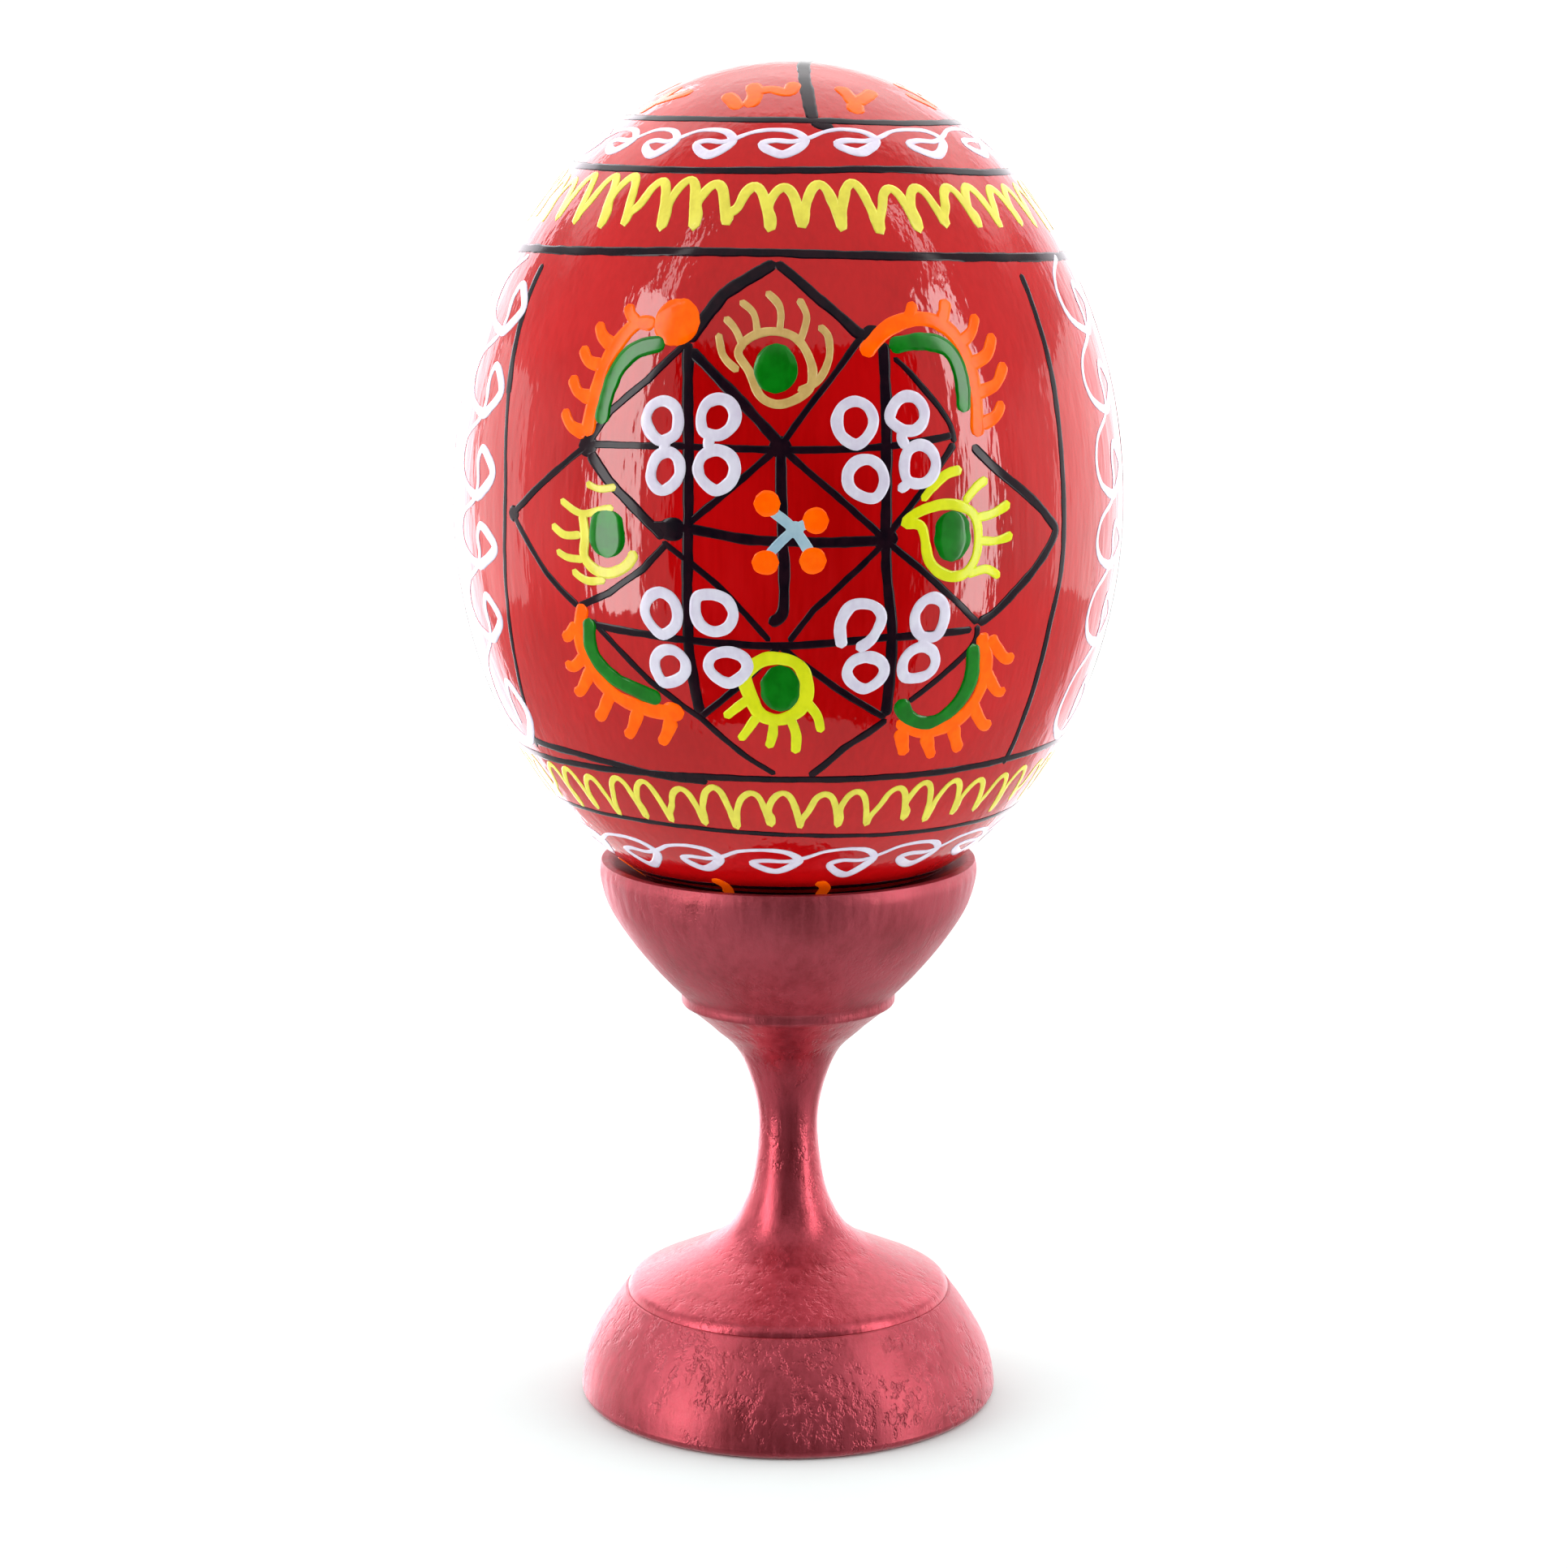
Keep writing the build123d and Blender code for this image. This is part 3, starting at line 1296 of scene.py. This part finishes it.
RINGLETS: tuple[tuple[Spot, float, float, float, float], ...] = (
    ((-20.9, 37.1), 1.12, 1.15, 290, 0),
    ((-11.4, 37.4), 1.10, 1.10, 240, 0),
    ((-19.8, 33.9), 0.98, 1.15, 250, -12),
    ((-11.5, 34.1), 1.22, 1.15, 280, 0),
    ((10.8, 37.1), 1.20, 1.22, 260, 0),
    ((19.9, 37.5), 1.08, 1.10, 225, -30),
    ((12.2, 33.5), 1.20, 1.15, 280, 25),
    ((21.4, 34.3), 1.10, 1.20, 235, 0),
    ((-20.9, 24.7), 1.15, 1.25, 280, 0),
    ((-11.9, 24.7), 1.25, 1.20, 135, 0),
    ((-20.0, 21.1), 1.10, 1.05, 225, 20),
    ((-10.1, 21.2), 1.30, 0.95, 270, 0),
    ((23.4, 24.3), 1.08, 1.25, 300, -15),
    ((12.9, 20.8), 1.25, 0.95, 270, 0),
    ((22.3, 21.2), 1.12, 1.05, 215, 0),
)
"""The white ringlets of a panel: middle, half width, half height, corner's direction, lean."""

RINGLET_LINKS: tuple[tuple[Spot, ...], ...] = (
    ((-19.9, 36.0), (-20.2, 35.3), (-19.9, 34.8)),
    ((-12.4, 36.4), (-12.8, 35.7), (-12.4, 35.2)),
    ((18.9, 36.6), (18.4, 35.9), (19.4, 35.3)),
    ((17.4, 32.6), (18.6, 32.9), (19.9, 33.4)),
    ((23.2, 23.2), (22.6, 22.7), (22.9, 22.0)),
    ((8.6, 22.4), (8.3, 24.0), (10.0, 25.2), (13.4, 25.2), (15.0, 24.4), (13.6, 23.0), (11.0, 22.3)),
)
"""The strokes that join ringlets or stay open."""


@dataclass(frozen=True)
class Eye:
    """A green eye in a painted rim with lashes; spots as on the front panel."""

    name: str
    pot: Pot
    pupil: Spot
    pupil_wide: float
    pupil_tall: float
    rim: tuple[Spot, ...]
    rim_width: float
    lashes: tuple[tuple[Spot, ...], ...]
    lash_width: float = 0.62


EYES = (
    Eye(
        "top",
        Pot.TAN,
        (-2.2, 40.4),
        1.42,
        1.55,
        (
            (-8.6, 41.4), (-6.4, 42.4), (-2.5, 42.7), (1.6, 42.2), (3.9, 40.6), (3.2, 39.0),
            (-1.0, 38.2), (-4.4, 38.6), (-6.6, 40.2),
        ),
        0.6,
        (
            ((-8.4, 40.2), (-11.2, 41.2), (-12.2, 42.6)),
            ((-7.6, 41.6), (-9.2, 42.8), (-11.4, 43.6)),
            ((-5.4, 42.5), (-6.2, 43.8), (-8.8, 44.6)),
            ((-1.6, 42.7), (-1.6, 44.2), (-4.1, 45.2)),
            ((2.0, 42.1), (3.2, 43.6), (1.7, 44.8)),
            ((5.2, 43.1), (6.8, 42.4), (6.8, 41.0), (4.8, 39.6), (1.5, 39.0)),
        ),
        0.52,
    ),
    Eye(
        "left",
        Pot.YELLOW,
        (-30.2, 29.6),
        1.38,
        1.6,
        (
            (-35.0, 30.9), (-34.4, 29.4), (-34.6, 28.0), (-32.6, 27.2), (-29.8, 27.0), (-26.6, 27.6),
            (-25.0, 28.6),
        ),
        0.78,
        (
            ((-28.8, 31.3), (-31.4, 31.1), (-35.4, 30.8), (-39.4, 31.6)),
            ((-35.2, 29.4), (-38.6, 29.3), (-41.3, 29.9)),
            ((-34.8, 27.8), (-38.0, 27.8), (-40.4, 28.2)),
            ((-30.6, 26.5), (-34.4, 26.4), (-37.2, 27.0)),
            ((-28.4, 32.7), (-31.6, 32.5), (-34.3, 32.8)),
        ),
        0.54,
    ),
    Eye(
        "right",
        Pot.LIME,
        (26.8, 29.5),
        1.45,
        1.66,
        (
            (18.6, 30.5), (21.0, 31.2), (25.4, 31.6), (29.6, 31.2), (31.4, 30.2), (31.4, 28.2),
            (29.2, 27.0), (25.8, 27.0), (22.8, 28.0), (21.4, 30.2),
        ),
        0.74,
        (
            ((21.4, 31.9), (25.2, 33.4), (28.8, 33.8)),
            ((29.0, 31.6), (31.4, 32.6), (33.6, 33.1)),
            ((31.0, 30.6), (34.4, 30.8), (38.0, 31.4)),
            ((31.4, 29.1), (35.0, 29.0), (38.6, 29.3)),
            ((29.6, 26.9), (33.4, 27.2), (36.2, 26.6)),
        ),
        0.64,
    ),
    Eye(
        "bottom",
        Pot.LIME,
        (-1.4, 19.7),
        1.35,
        1.6,
        (
            (-7.2, 20.6), (-3.6, 21.7), (1.0, 21.5), (3.0, 20.2), (2.6, 18.6), (-0.6, 17.6),
            (-4.6, 17.8), (-6.4, 19.0),
        ),
        0.95,
        (
            ((-6.6, 19.0), (-9.0, 18.3), (-11.2, 17.6)),
            ((-5.4, 17.8), (-7.2, 16.8), (-8.8, 16.0)),
            ((-2.6, 17.5), (-2.9, 16.4), (-3.6, 15.5)),
            ((0.2, 17.7), (1.4, 16.4), (1.2, 15.1)),
            ((3.0, 18.8), (5.0, 17.8), (5.8, 16.6)),
        ),
        0.66,
    ),
)


@dataclass(frozen=True)
class Comb:
    """An orange comb with a green line inside it."""

    spine: tuple[Spot, ...]
    teeth: tuple[tuple[Spot, Spot], ...]
    inner: tuple[Spot, ...]


COMBS = (
    Comb(
        ((-24.0, 43.0), (-27.9, 43.0), (-32.2, 41.0), (-33.8, 38.8), (-34.7, 35.8)),
        (
            ((-27.4, 43.1), (-30.2, 44.3)),
            ((-31.6, 41.6), (-35.8, 43.1)),
            ((-33.0, 40.4), (-38.4, 41.5)),
            ((-34.2, 38.2), (-39.6, 39.6)),
            ((-34.8, 36.0), (-40.2, 37.4)),
        ),
        ((-21.6, 41.9), (-27.0, 41.4), (-30.4, 40.0), (-31.8, 37.8), (-32.0, 36.6)),
    ),
    Comb(
        (
            (12.6, 41.2), (17.7, 42.9), (24.2, 43.4), (29.4, 42.6), (32.0, 40.7), (32.6, 38.4),
            (32.2, 35.8),
        ),
        (
            ((20.6, 43.0), (23.0, 44.5)),
            ((27.6, 43.0), (29.8, 44.6)),
            ((31.0, 41.8), (35.6, 43.6)),
            ((32.2, 40.4), (38.6, 42.3)),
            ((32.6, 38.6), (39.8, 40.4)),
            ((33.0, 36.6), (38.0, 38.0)),
        ),
        ((17.4, 41.7), (24.0, 42.0), (28.4, 41.4), (30.2, 39.8), (29.9, 37.4)),
    ),
    Comb(
        ((-35.3, 24.8), (-37.0, 22.8), (-36.0, 20.7), (-32.7, 19.0), (-27.0, 18.0), (-19.3, 17.7)),
        (
            ((-37.2, 23.4), (-41.0, 22.5)),
            ((-36.6, 21.2), (-41.4, 20.6)),
            ((-35.6, 20.4), (-40.8, 18.6)),
            ((-32.4, 18.8), (-37.2, 17.0)),
            ((-27.0, 18.0), (-31.4, 15.8)),
            ((-20.8, 17.4), (-24.4, 15.5)),
        ),
        ((-34.4, 23.9), (-34.8, 21.6), (-31.2, 19.9), (-26.4, 19.1), (-22.4, 18.6)),
    ),
    Comb(
        ((33.4, 22.9), (35.4, 20.9), (35.2, 18.7), (31.7, 16.9), (25.6, 16.3), (19.4, 17.2)),
        (
            ((35.2, 22.6), (41.8, 21.0)),
            ((35.6, 20.2), (41.4, 18.6)),
            ((33.8, 18.2), (40.2, 16.3)),
            ((31.0, 16.6), (34.4, 14.7)),
            ((25.6, 16.2), (28.6, 14.4)),
            ((20.4, 16.7), (22.2, 14.7)),
        ),
        ((32.0, 22.2), (32.8, 19.8), (30.4, 17.9), (26.0, 16.9), (21.6, 17.4), (19.2, 18.7)),
    ),
)


@dataclass(frozen=True)
class Panel:
    """One of the two big pictures: star lines, ringlets, eyes, combs and the cross at its middle."""

    brush: Brush
    side: str
    middle: float
    ringlet_width: float = 0.8
    spine_width: float = 1.1
    lining_width: float = 1.2
    tooth_widths: tuple[float, ...] = (1.15, 0.86, 0.95)

    def paint(self, part: str, pot: Pot, strokes: Iterable[Stroke]) -> None:
        """Paints strokes given for the front panel, turned to this one.

        Args:
            part: what they are.
            pot: which paint.
            strokes: as on the front panel.
        """
        turned = [stroke.turned(self.middle) for stroke in strokes]
        self.brush.paint(f"{self.side}_{part}", pot, turned)

    def star(self) -> None:
        """The black lines, with blots where they meet."""
        egg = self.brush.egg
        strokes = [Stroke(spots, width, bends) for width, bends, spots in STAR_LINES]
        strokes += [dot(egg, spot, radius) for spot, radius in STAR_BLOTS]
        strokes.append(Stroke(((-21.0, 29.9), (-18.6, 30.1), (-16.4, 30.1)), 1.5))
        strokes.append(dot(egg, (14.6, 42.4), 0.75))
        self.paint("star_lines", Pot.BLACK, strokes)

    def ringlets(self) -> None:
        """The white ringlets and the strokes that join them."""
        egg = self.brush.egg
        width = self.ringlet_width
        strokes = [
            ringlet(egg, spot, wide, tall, width, point, lean)
            for spot, wide, tall, point, lean in RINGLETS
        ]
        strokes += [Stroke(spots, width) for spots in RINGLET_LINKS]
        self.paint("ringlets", Pot.WHITE, strokes)

    def eyes(self) -> None:
        """The four eyes."""
        egg = self.brush.egg
        for eye in EYES:
            strokes = [Stroke(eye.rim, eye.rim_width, closed=eye.name != "left")]
            strokes += [Stroke(lash, eye.lash_width) for lash in eye.lashes]
            self.paint(f"{eye.name}_eye_rim", eye.pot, strokes)
        pupils = [dot(egg, eye.pupil, eye.pupil_wide, eye.pupil_tall) for eye in EYES]
        self.paint("eye_pupils", Pot.GREEN, pupils)

    def tooth(self, root: Spot, tip: Spot) -> Stroke:
        """One hooked tooth of a comb, thick at its root and its tip."""
        share, sag = 0.62, 0.09
        turn = root[0] + (tip[0] - root[0]) * share
        height = root[1] + (tip[1] - root[1]) * share - sag * abs(tip[0] - root[0])
        return Stroke((root, (turn, height), tip), widths=self.tooth_widths)

    def combs(self) -> None:
        """The four orange combs and their green lines."""
        egg = self.brush.egg
        orange = [dot(egg, (-20.0, 43.2), 1.6), dot(egg, (-20.5, 17.8), 0.8)]
        green = []
        for comb in COMBS:
            orange.append(Stroke(comb.spine, self.spine_width))
            orange += [self.tooth(*ends) for ends in comb.teeth]
            green.append(Stroke(comb.inner, self.lining_width))
        self.paint("combs", Pot.ORANGE, orange)
        self.paint("comb_linings", Pot.GREEN, green)

    def centre_cross(self) -> None:
        """The pale blue cross with its orange dots."""
        egg = self.brush.egg
        arms = [
            Stroke(((-3.2, 31.6), (0.9, 30.2), (3.9, 28.4)), 0.75),
            Stroke(((-3.4, 28.5), (0.9, 30.2), (4.0, 30.7)), 0.7),
            dot(egg, (0.9, 30.2), 0.62),
        ]
        self.paint("cross_arms", Pot.PALE_BLUE, arms)
        dots = [dot(egg, spot, 0.88) for spot in ((-3.4, 31.9), (-3.7, 28.1), (4.2, 30.8), (3.8, 28.2))]
        self.paint("cross_dots", Pot.ORANGE, dots)

    def build(self) -> None:
        """Paints the whole panel."""
        self.star()
        self.ringlets()
        self.combs()
        self.eyes()
        self.centre_cross()


# The stand


@dataclass(frozen=True)
class Stand:
    """The cup, stem and foot, turned to the sizes of their solids, in millimetres."""

    cup_wash: ClassVar[SatinWash] = SatinWash(
        "stand_cup_wash", (0.48, 0.066, 0.092), (0.31, 0.031, 0.044), 0.5, 0.44, 0.4
    )
    stem_wash: ClassVar[SatinWash] = SatinWash(
        "stand_stem_wash", (0.50, 0.064, 0.092), (0.31, 0.027, 0.040), 0.64, 0.32, 0.5
    )
    foot_wash: ClassVar[SatinWash] = SatinWash(
        "stand_foot_wash", (0.46, 0.058, 0.084), (0.29, 0.026, 0.038), 0.56, 0.39, 1.5
    )
    sides: int = 256
    cup_outline: tuple[Corner, ...] = (
        (13.4, 39.9), (13.5, 38.9), (12.9, 36.7), (11.35, 34.2), (9.45, 31.85), (7.72, 30.05),
    )
    rim_land: float = 0.6
    seat_slope: float = 0.475
    well_radius: float = 6.0
    well_corner: float = 1.5
    well_floor: float = 31.4
    cup_underside: float = 29.2
    bead_round: float = 0.3
    stem_outline: tuple[Corner, ...] = (
        (7.4, 29.2), (6.45, 28.42), (5.4, 27.5), (3.65, 25.75), (2.55, 23.0), (2.14, 20.1),
        (2.5, 16.4), (3.2, 14.1), (4.3, 12.3), (5.9, 11.05),
    )
    disc_edge: tuple[Corner, ...] = (
        (10.85, 8.75), (11.28, 8.5), (11.5, 8.3), (11.66, 8.05), (11.75, 7.75),
    )
    foot_outline: tuple[Corner, ...] = (
        (11.9, 7.75), (13.1, 6.05), (14.35, 3.9), (14.95, 2.1), (15.16, 0.6),
    )
    foot_corner: tuple[Corner, ...] = (
        (15.16, 0.6), (15.11, 0.37), (14.97, 0.18), (14.8, 0.05), (14.6, 0.0),
    )
    step_height: float = 7.75
    tenon_radius: float = 2.4
    tenon_length: float = 3.0
    foot_tenon_radius: float = 3.0
    foot_tenon_length: float = 4.0
    tenon_gap: float = 0.05
    end_gap: float = 0.3
    grain_scale: float = 1600.0
    grain_mm: float = 0.012
    rim_grain_mm: float = 0.05
    torn_mm: float = 0.07
    pit_mm: float = 0.12

    def grain(self, place: Vector, depth_mm: float) -> float:
        """Upright grain as extra radius.

        Args:
            place: where.
            depth_mm: its depth.

        Returns:
            Metres.
        """
        scale = self.grain_scale
        where = Vector((place.x * scale, place.y * scale, place.z * scale * 0.12))
        return noise.noise(where) * depth_mm * MM

    def cup_relief(self, place: Vector) -> float:
        """Ragged upright grain just under the rim; the seat stays clean."""
        radius = math.hypot(place.x, place.y) / MM
        height = place.z / MM
        if radius < 12.95 or height > 39.6:
            return 0.0
        below_rim = max(0.0, 1 - abs(height - 38.7) / 2.4)
        return self.grain(place, self.grain_mm + self.rim_grain_mm * below_rim)

    def stem_relief(self, place: Vector) -> float:
        """Faint grain on the outside of the stem."""
        radius = math.hypot(place.x, place.y) / MM
        height = place.z / MM
        outside = radius > self.foot_tenon_radius + 0.1 or 12.5 < height < 25.5
        if outside and height > self.step_height + 0.2:
            return self.grain(place, self.grain_mm)
        return 0.0

    def foot_relief(self, place: Vector) -> float:
        """Torn grain and pits, worst on the lower front and right of the foot."""
        radius = math.hypot(place.x, place.y) / MM
        height = place.z / MM
        if radius < 12.2 or height < 0.3:
            return 0.0
        turn = math.degrees(math.atan2(place.x, -place.y))
        patch = noise.noise(Vector((turn / 25, height / 3, 4.0))) + 0.35
        low = max(0.0, 1 - abs(height - 3.0) / 3.0)
        torn = max(0.0, patch) * low
        fine = noise.noise(Vector((place.x * 1500, place.y * 1500, place.z * 1100)))
        pits = max(0.0, fine - 0.05)
        rough = (fine * self.torn_mm - pits * self.pit_mm) * torn * MM
        return self.grain(place, self.grain_mm) + rough

    def turn(
        self, name: str, outline: list[Corner], relief: Callable[[Vector], float], wash: SatinWash
    ) -> bpy.types.Object:
        """Turns one piece and paints it.

        Args:
            name: the CAD node that it stands for.
            outline: (radius, height) in millimetres, from the axis to the axis.
            relief: extra radius at a place.
            wash: its paint.

        Returns:
            The piece.
        """
        metres = [(radius * MM, height * MM) for radius, height in outline]
        made = turned_mesh(f"{name}_turned", metres, self.sides, relief)
        made.data.materials.append(wash.material())
        report(made)
        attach(made, "stand")
        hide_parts(name)
        return made

    def cup(self) -> bpy.types.Object:
        """Builds the cup.

        Returns:
            The piece.
        """
        rim_radius, rim_height = self.cup_outline[0]
        bead_radius, bead_top = self.cup_outline[-1]
        seat_top = rim_radius - self.rim_land
        seat_low = rim_height - self.seat_slope * (seat_top - self.well_radius)
        corner = self.well_radius - self.well_corner
        outline = [(0.0, self.well_floor), (corner / 2, self.well_floor)]
        for step in range(7):
            angle = math.pi / 2 * step / 6
            rise = self.well_corner * (1 - math.cos(angle))
            outline.append((corner + self.well_corner * math.sin(angle), self.well_floor + rise))
        outline += straight_line((self.well_radius, seat_low), (seat_top, rim_height), 12)
        rim = (seat_top, seat_top + 0.2, rim_radius - 0.06)
        outline += [(radius, rim_height) for radius in rim]
        outline += bent_line(self.cup_outline, 14)
        bead_low = self.cup_underside + self.bead_round
        outline += [(bead_radius, height) for height in (bead_top, bead_top - 0.3, bead_low)]
        for step in range(1, 5):
            angle = math.pi / 2 * step / 4
            inset = self.bead_round * (1 - math.cos(angle))
            outline.append((bead_radius - inset, bead_low - self.bead_round * math.sin(angle)))
        tenon_end = self.cup_underside - self.tenon_length
        outline += [(self.tenon_radius, height) for height in (self.cup_underside, tenon_end)]
        outline.append((0.0, tenon_end))
        return self.turn("stand_cup", outline, self.cup_relief, self.cup_wash)

    def stem(self) -> bpy.types.Object:
        """Builds the stem with its lower disc.

        Returns:
            The piece.
        """
        socket = self.tenon_radius + self.tenon_gap
        floor = self.cup_underside - self.tenon_length - self.end_gap
        tenon_end = self.step_height - self.foot_tenon_length
        outline = [(0.0, floor), (socket, floor), (socket, self.cup_underside)]
        outline += bent_line(self.stem_outline, 9)
        outline += straight_line(self.stem_outline[-1], self.disc_edge[0], 14)
        outline += bent_line(self.disc_edge, 4)
        outline += [self.disc_edge[-1], (self.foot_tenon_radius, self.step_height)]
        outline += [(self.foot_tenon_radius, tenon_end), (0.0, tenon_end)]
        return self.turn("stand_stem", outline, self.stem_relief, self.stem_wash)

    def foot(self) -> bpy.types.Object:
        """Builds the foot.

        Returns:
            The piece.
        """
        socket = self.foot_tenon_radius + self.tenon_gap
        floor = self.step_height - self.foot_tenon_length - self.end_gap
        outline = [(0.0, floor), (socket, floor), (socket, self.step_height)]
        outline += bent_line(self.foot_outline, 16)
        outline += bent_line(self.foot_corner, 3)
        outline += [self.foot_corner[-1], (7.0, 0.0), (0.0, 0.0)]
        return self.turn("stand_foot", outline, self.foot_relief, self.foot_wash)

    def build(self) -> None:
        """Builds the three pieces."""
        self.cup()
        self.stem()
        self.foot()


# The studio


@dataclass(frozen=True)
class UprightLight:
    """A soft upright panel light, sized by the degrees it fills as seen from the egg's middle.

    Some panels also light the paint, and some only do that and stay out of the gloss.
    """

    name: str
    turn: float
    breadth: float
    rise: tuple[float, float]
    radiance: float
    lights_paint: bool = False
    shows: bool = True
    tint: Colour = (1.0, 1.0, 1.0)


@dataclass(frozen=True)
class Studio:
    """Pale sheet, white tent, upright panel lights, a dark card round the camera, and the camera."""

    sheet_size: float = 1.1
    egg_middle: float = float(CAD_BOX[1].z) * 0.68
    card_distance: float = 0.5
    card_turns: tuple[float, float] = (-39.0, 46.0)
    card_rise: tuple[float, float] = (-48.0, 33.0)
    card_steps: int = 12
    light_distance: float = 0.6
    uprights: tuple[UprightLight, ...] = (
        UprightLight("left_strip", -59.0, 17.0, (-21.0, 40.0), 7.5),
        UprightLight("right_strip", 66.0, 13.0, (-21.0, 40.0), 7.5),
        UprightLight("left_strip_top", -57.0, 6.0, (40.5, 60.0), 4.0),
        UprightLight("right_strip_top", 74.0, 6.0, (40.5, 60.0), 4.0),
        UprightLight("left_panel", -114.0, 28.0, (-17.0, 13.0), 1.25, True),
        UprightLight("right_panel", 116.0, 28.0, (-15.0, 15.0), 1.2, True),
        UprightLight("left_rear_panel", -150.0, 36.0, (-28.0, 31.0), 2.5, tint=(1.0, 0.90, 1.0)),
        UprightLight("right_rear_panel", 149.0, 36.0, (-28.0, 31.0), 0.8, tint=(1.0, 0.86, 1.0)),
        UprightLight("left_fill", -88.0, 56.0, (8.0, 62.0), 2.7, True, False),
        UprightLight("right_fill", 92.0, 56.0, (8.0, 62.0), 2.5, True, False),
    )
    tent: float = 0.64
    tent_horizon: float = 0.40
    tent_high_behind: float = 2.2
    tent_behind: float = 0.8
    tent_to_camera: float = 1.1
    camera_place: tuple[float, float, float] = (-0.0003, -0.25496, 0.09333)
    camera_pitch: float = 79.31
    lens_mm: float = 83.26

    def sheet(self) -> None:
        """The pale sheet under the stand."""
        half = self.sheet_size / 2
        mesh = bpy.data.meshes.new("pale_sheet")
        corners = [(-half, -half, 0.0), (half, -half, 0.0), (half, half, 0.0), (-half, half, 0.0)]
        mesh.from_pydata(corners, [], [(0, 1, 2, 3)])
        mesh.materials.append(PaleSheet("pale_sheet").material())
        made = placed("pale_sheet", mesh)
        made.visible_glossy = False

    def black_card(self) -> None:
        """Dark card round the camera: a dark shape in the gloss, and less light on the front."""
        left, right = (math.radians(angle) for angle in self.card_turns)
        slopes = [math.tan(math.radians(angle)) for angle in self.card_rise]
        far = self.card_distance
        points = []
        for step in range(self.card_steps + 1):
            turn = left + (right - left) * step / self.card_steps
            for slope in slopes:
                points.append((far * math.sin(turn), -far * math.cos(turn), self.egg_middle + far * slope))
        faces = [(n, n + 1, n + 3, n + 2) for n in range(0, 2 * self.card_steps, 2)]
        mesh = bpy.data.meshes.new("black_card")
        mesh.from_pydata(points, [], faces)
        mesh.materials.append(BlackCard("black_card").material())
        made = placed("black_card", mesh)
        made.visible_camera = False

    def panel_light(self, light: UprightLight) -> None:
        """Sets up one upright panel light, turned to the egg.

        Args:
            light: where it stands and how it shines.
        """
        far = self.light_distance
        low, high = (math.tan(math.radians(angle)) * far for angle in light.rise)
        wide = 2 * far * math.tan(math.radians(light.breadth / 2))
        tall = high - low
        turn = math.radians(light.turn)
        height = self.egg_middle + (low + high) / 2
        place = Vector((far * math.sin(turn), -far * math.cos(turn), height))
        data = bpy.data.lights.new(light.name, "AREA")
        data.shape = "RECTANGLE"
        data.size = wide
        data.size_y = tall
        data.color = light.tint
        data.energy = light.radiance * wide * tall * math.pi
        made = placed(light.name, data)
        made.location = place
        made.rotation_mode = "QUATERNION"
        made.rotation_quaternion = (Vector((0.0, 0.0, height)) - place).to_track_quat("-Z", "Y")
        made.visible_camera = False
        made.visible_diffuse = light.lights_paint
        made.visible_glossy = light.shows

    def white_tent(self) -> None:
        """White tent, brighter round the sides and behind, and plain white to the camera."""
        world = bpy.data.worlds.new("white_tent")
        bpy.context.scene.world = world
        world.use_nodes = True
        world.node_tree.nodes.clear()
        bench = NodeBench(world.node_tree)
        way = bench.add("ShaderNodeTexCoord", output="Generated")
        depth = bench.add("ShaderNodeSeparateXYZ", {}, {0: way}, "Y")
        rise = depth.other("Z")
        high_behind = depth.ramp(0.22, 0.40) * rise.ramp(0.42, 0.60)
        horizon = depth.ramp(-0.35, 0.0) * rise.size().ramp(0.12, 0.36, 1.0, 0.0)
        straight_behind = depth.ramp(0.55, 0.85) * rise.ramp(0.42, 0.60, 1.0, 0.0)
        extra = high_behind * (self.tent_high_behind - self.tent) + straight_behind * self.tent_behind
        level = horizon * self.tent_horizon + extra + self.tent
        white = (1.0, 1.0, 1.0, 1.0)
        soft = bench.add("ShaderNodeBackground", {}, {"Color": white, "Strength": level})
        plain = bench.add("ShaderNodeBackground", {}, {"Color": white, "Strength": self.tent_to_camera})
        seen = bench.add("ShaderNodeLightPath", output="Is Camera Ray")
        both = bench.add("ShaderNodeMixShader", {}, {0: seen, 1: soft, 2: plain})
        bench.add("ShaderNodeOutputWorld", {}, {"Surface": both})

    def camera(self) -> None:
        """The camera, a little above the egg's middle and looking slightly down."""
        data = bpy.data.cameras.new("camera")
        data.lens = self.lens_mm
        data.sensor_width = 36.0
        data.clip_start = 0.01
        made = placed("camera", data)
        made.location = self.camera_place
        made.rotation_euler = (math.radians(self.camera_pitch), 0.0, 0.0)
        bpy.context.scene.camera = made

    def build(self) -> None:
        """Sets the studio up."""
        self.sheet()
        self.black_card()
        for light in self.uprights:
            self.panel_light(light)
        self.white_tent()
        self.camera()
        bpy.context.scene.view_settings.view_transform = "Standard"


def main() -> None:
    """Builds the egg, its painting, the stand and the studio."""
    logging.basicConfig(level=logging.INFO, format="%(name)s %(message)s")
    egg = EggShape.from_box(*(Vector(corner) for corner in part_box("egg")))
    brush = Brush(egg)
    EggSkin(egg).build()
    Bands(brush).build()
    PoleCaps(brush).build()
    SideBelts(brush).build()
    for side, middle in (("front", 0.0), ("back", 180.0)):
        Panel(brush, side, middle).build()
    Stand().build()
    Studio().build()


if __name__ == "__main__":
    main()
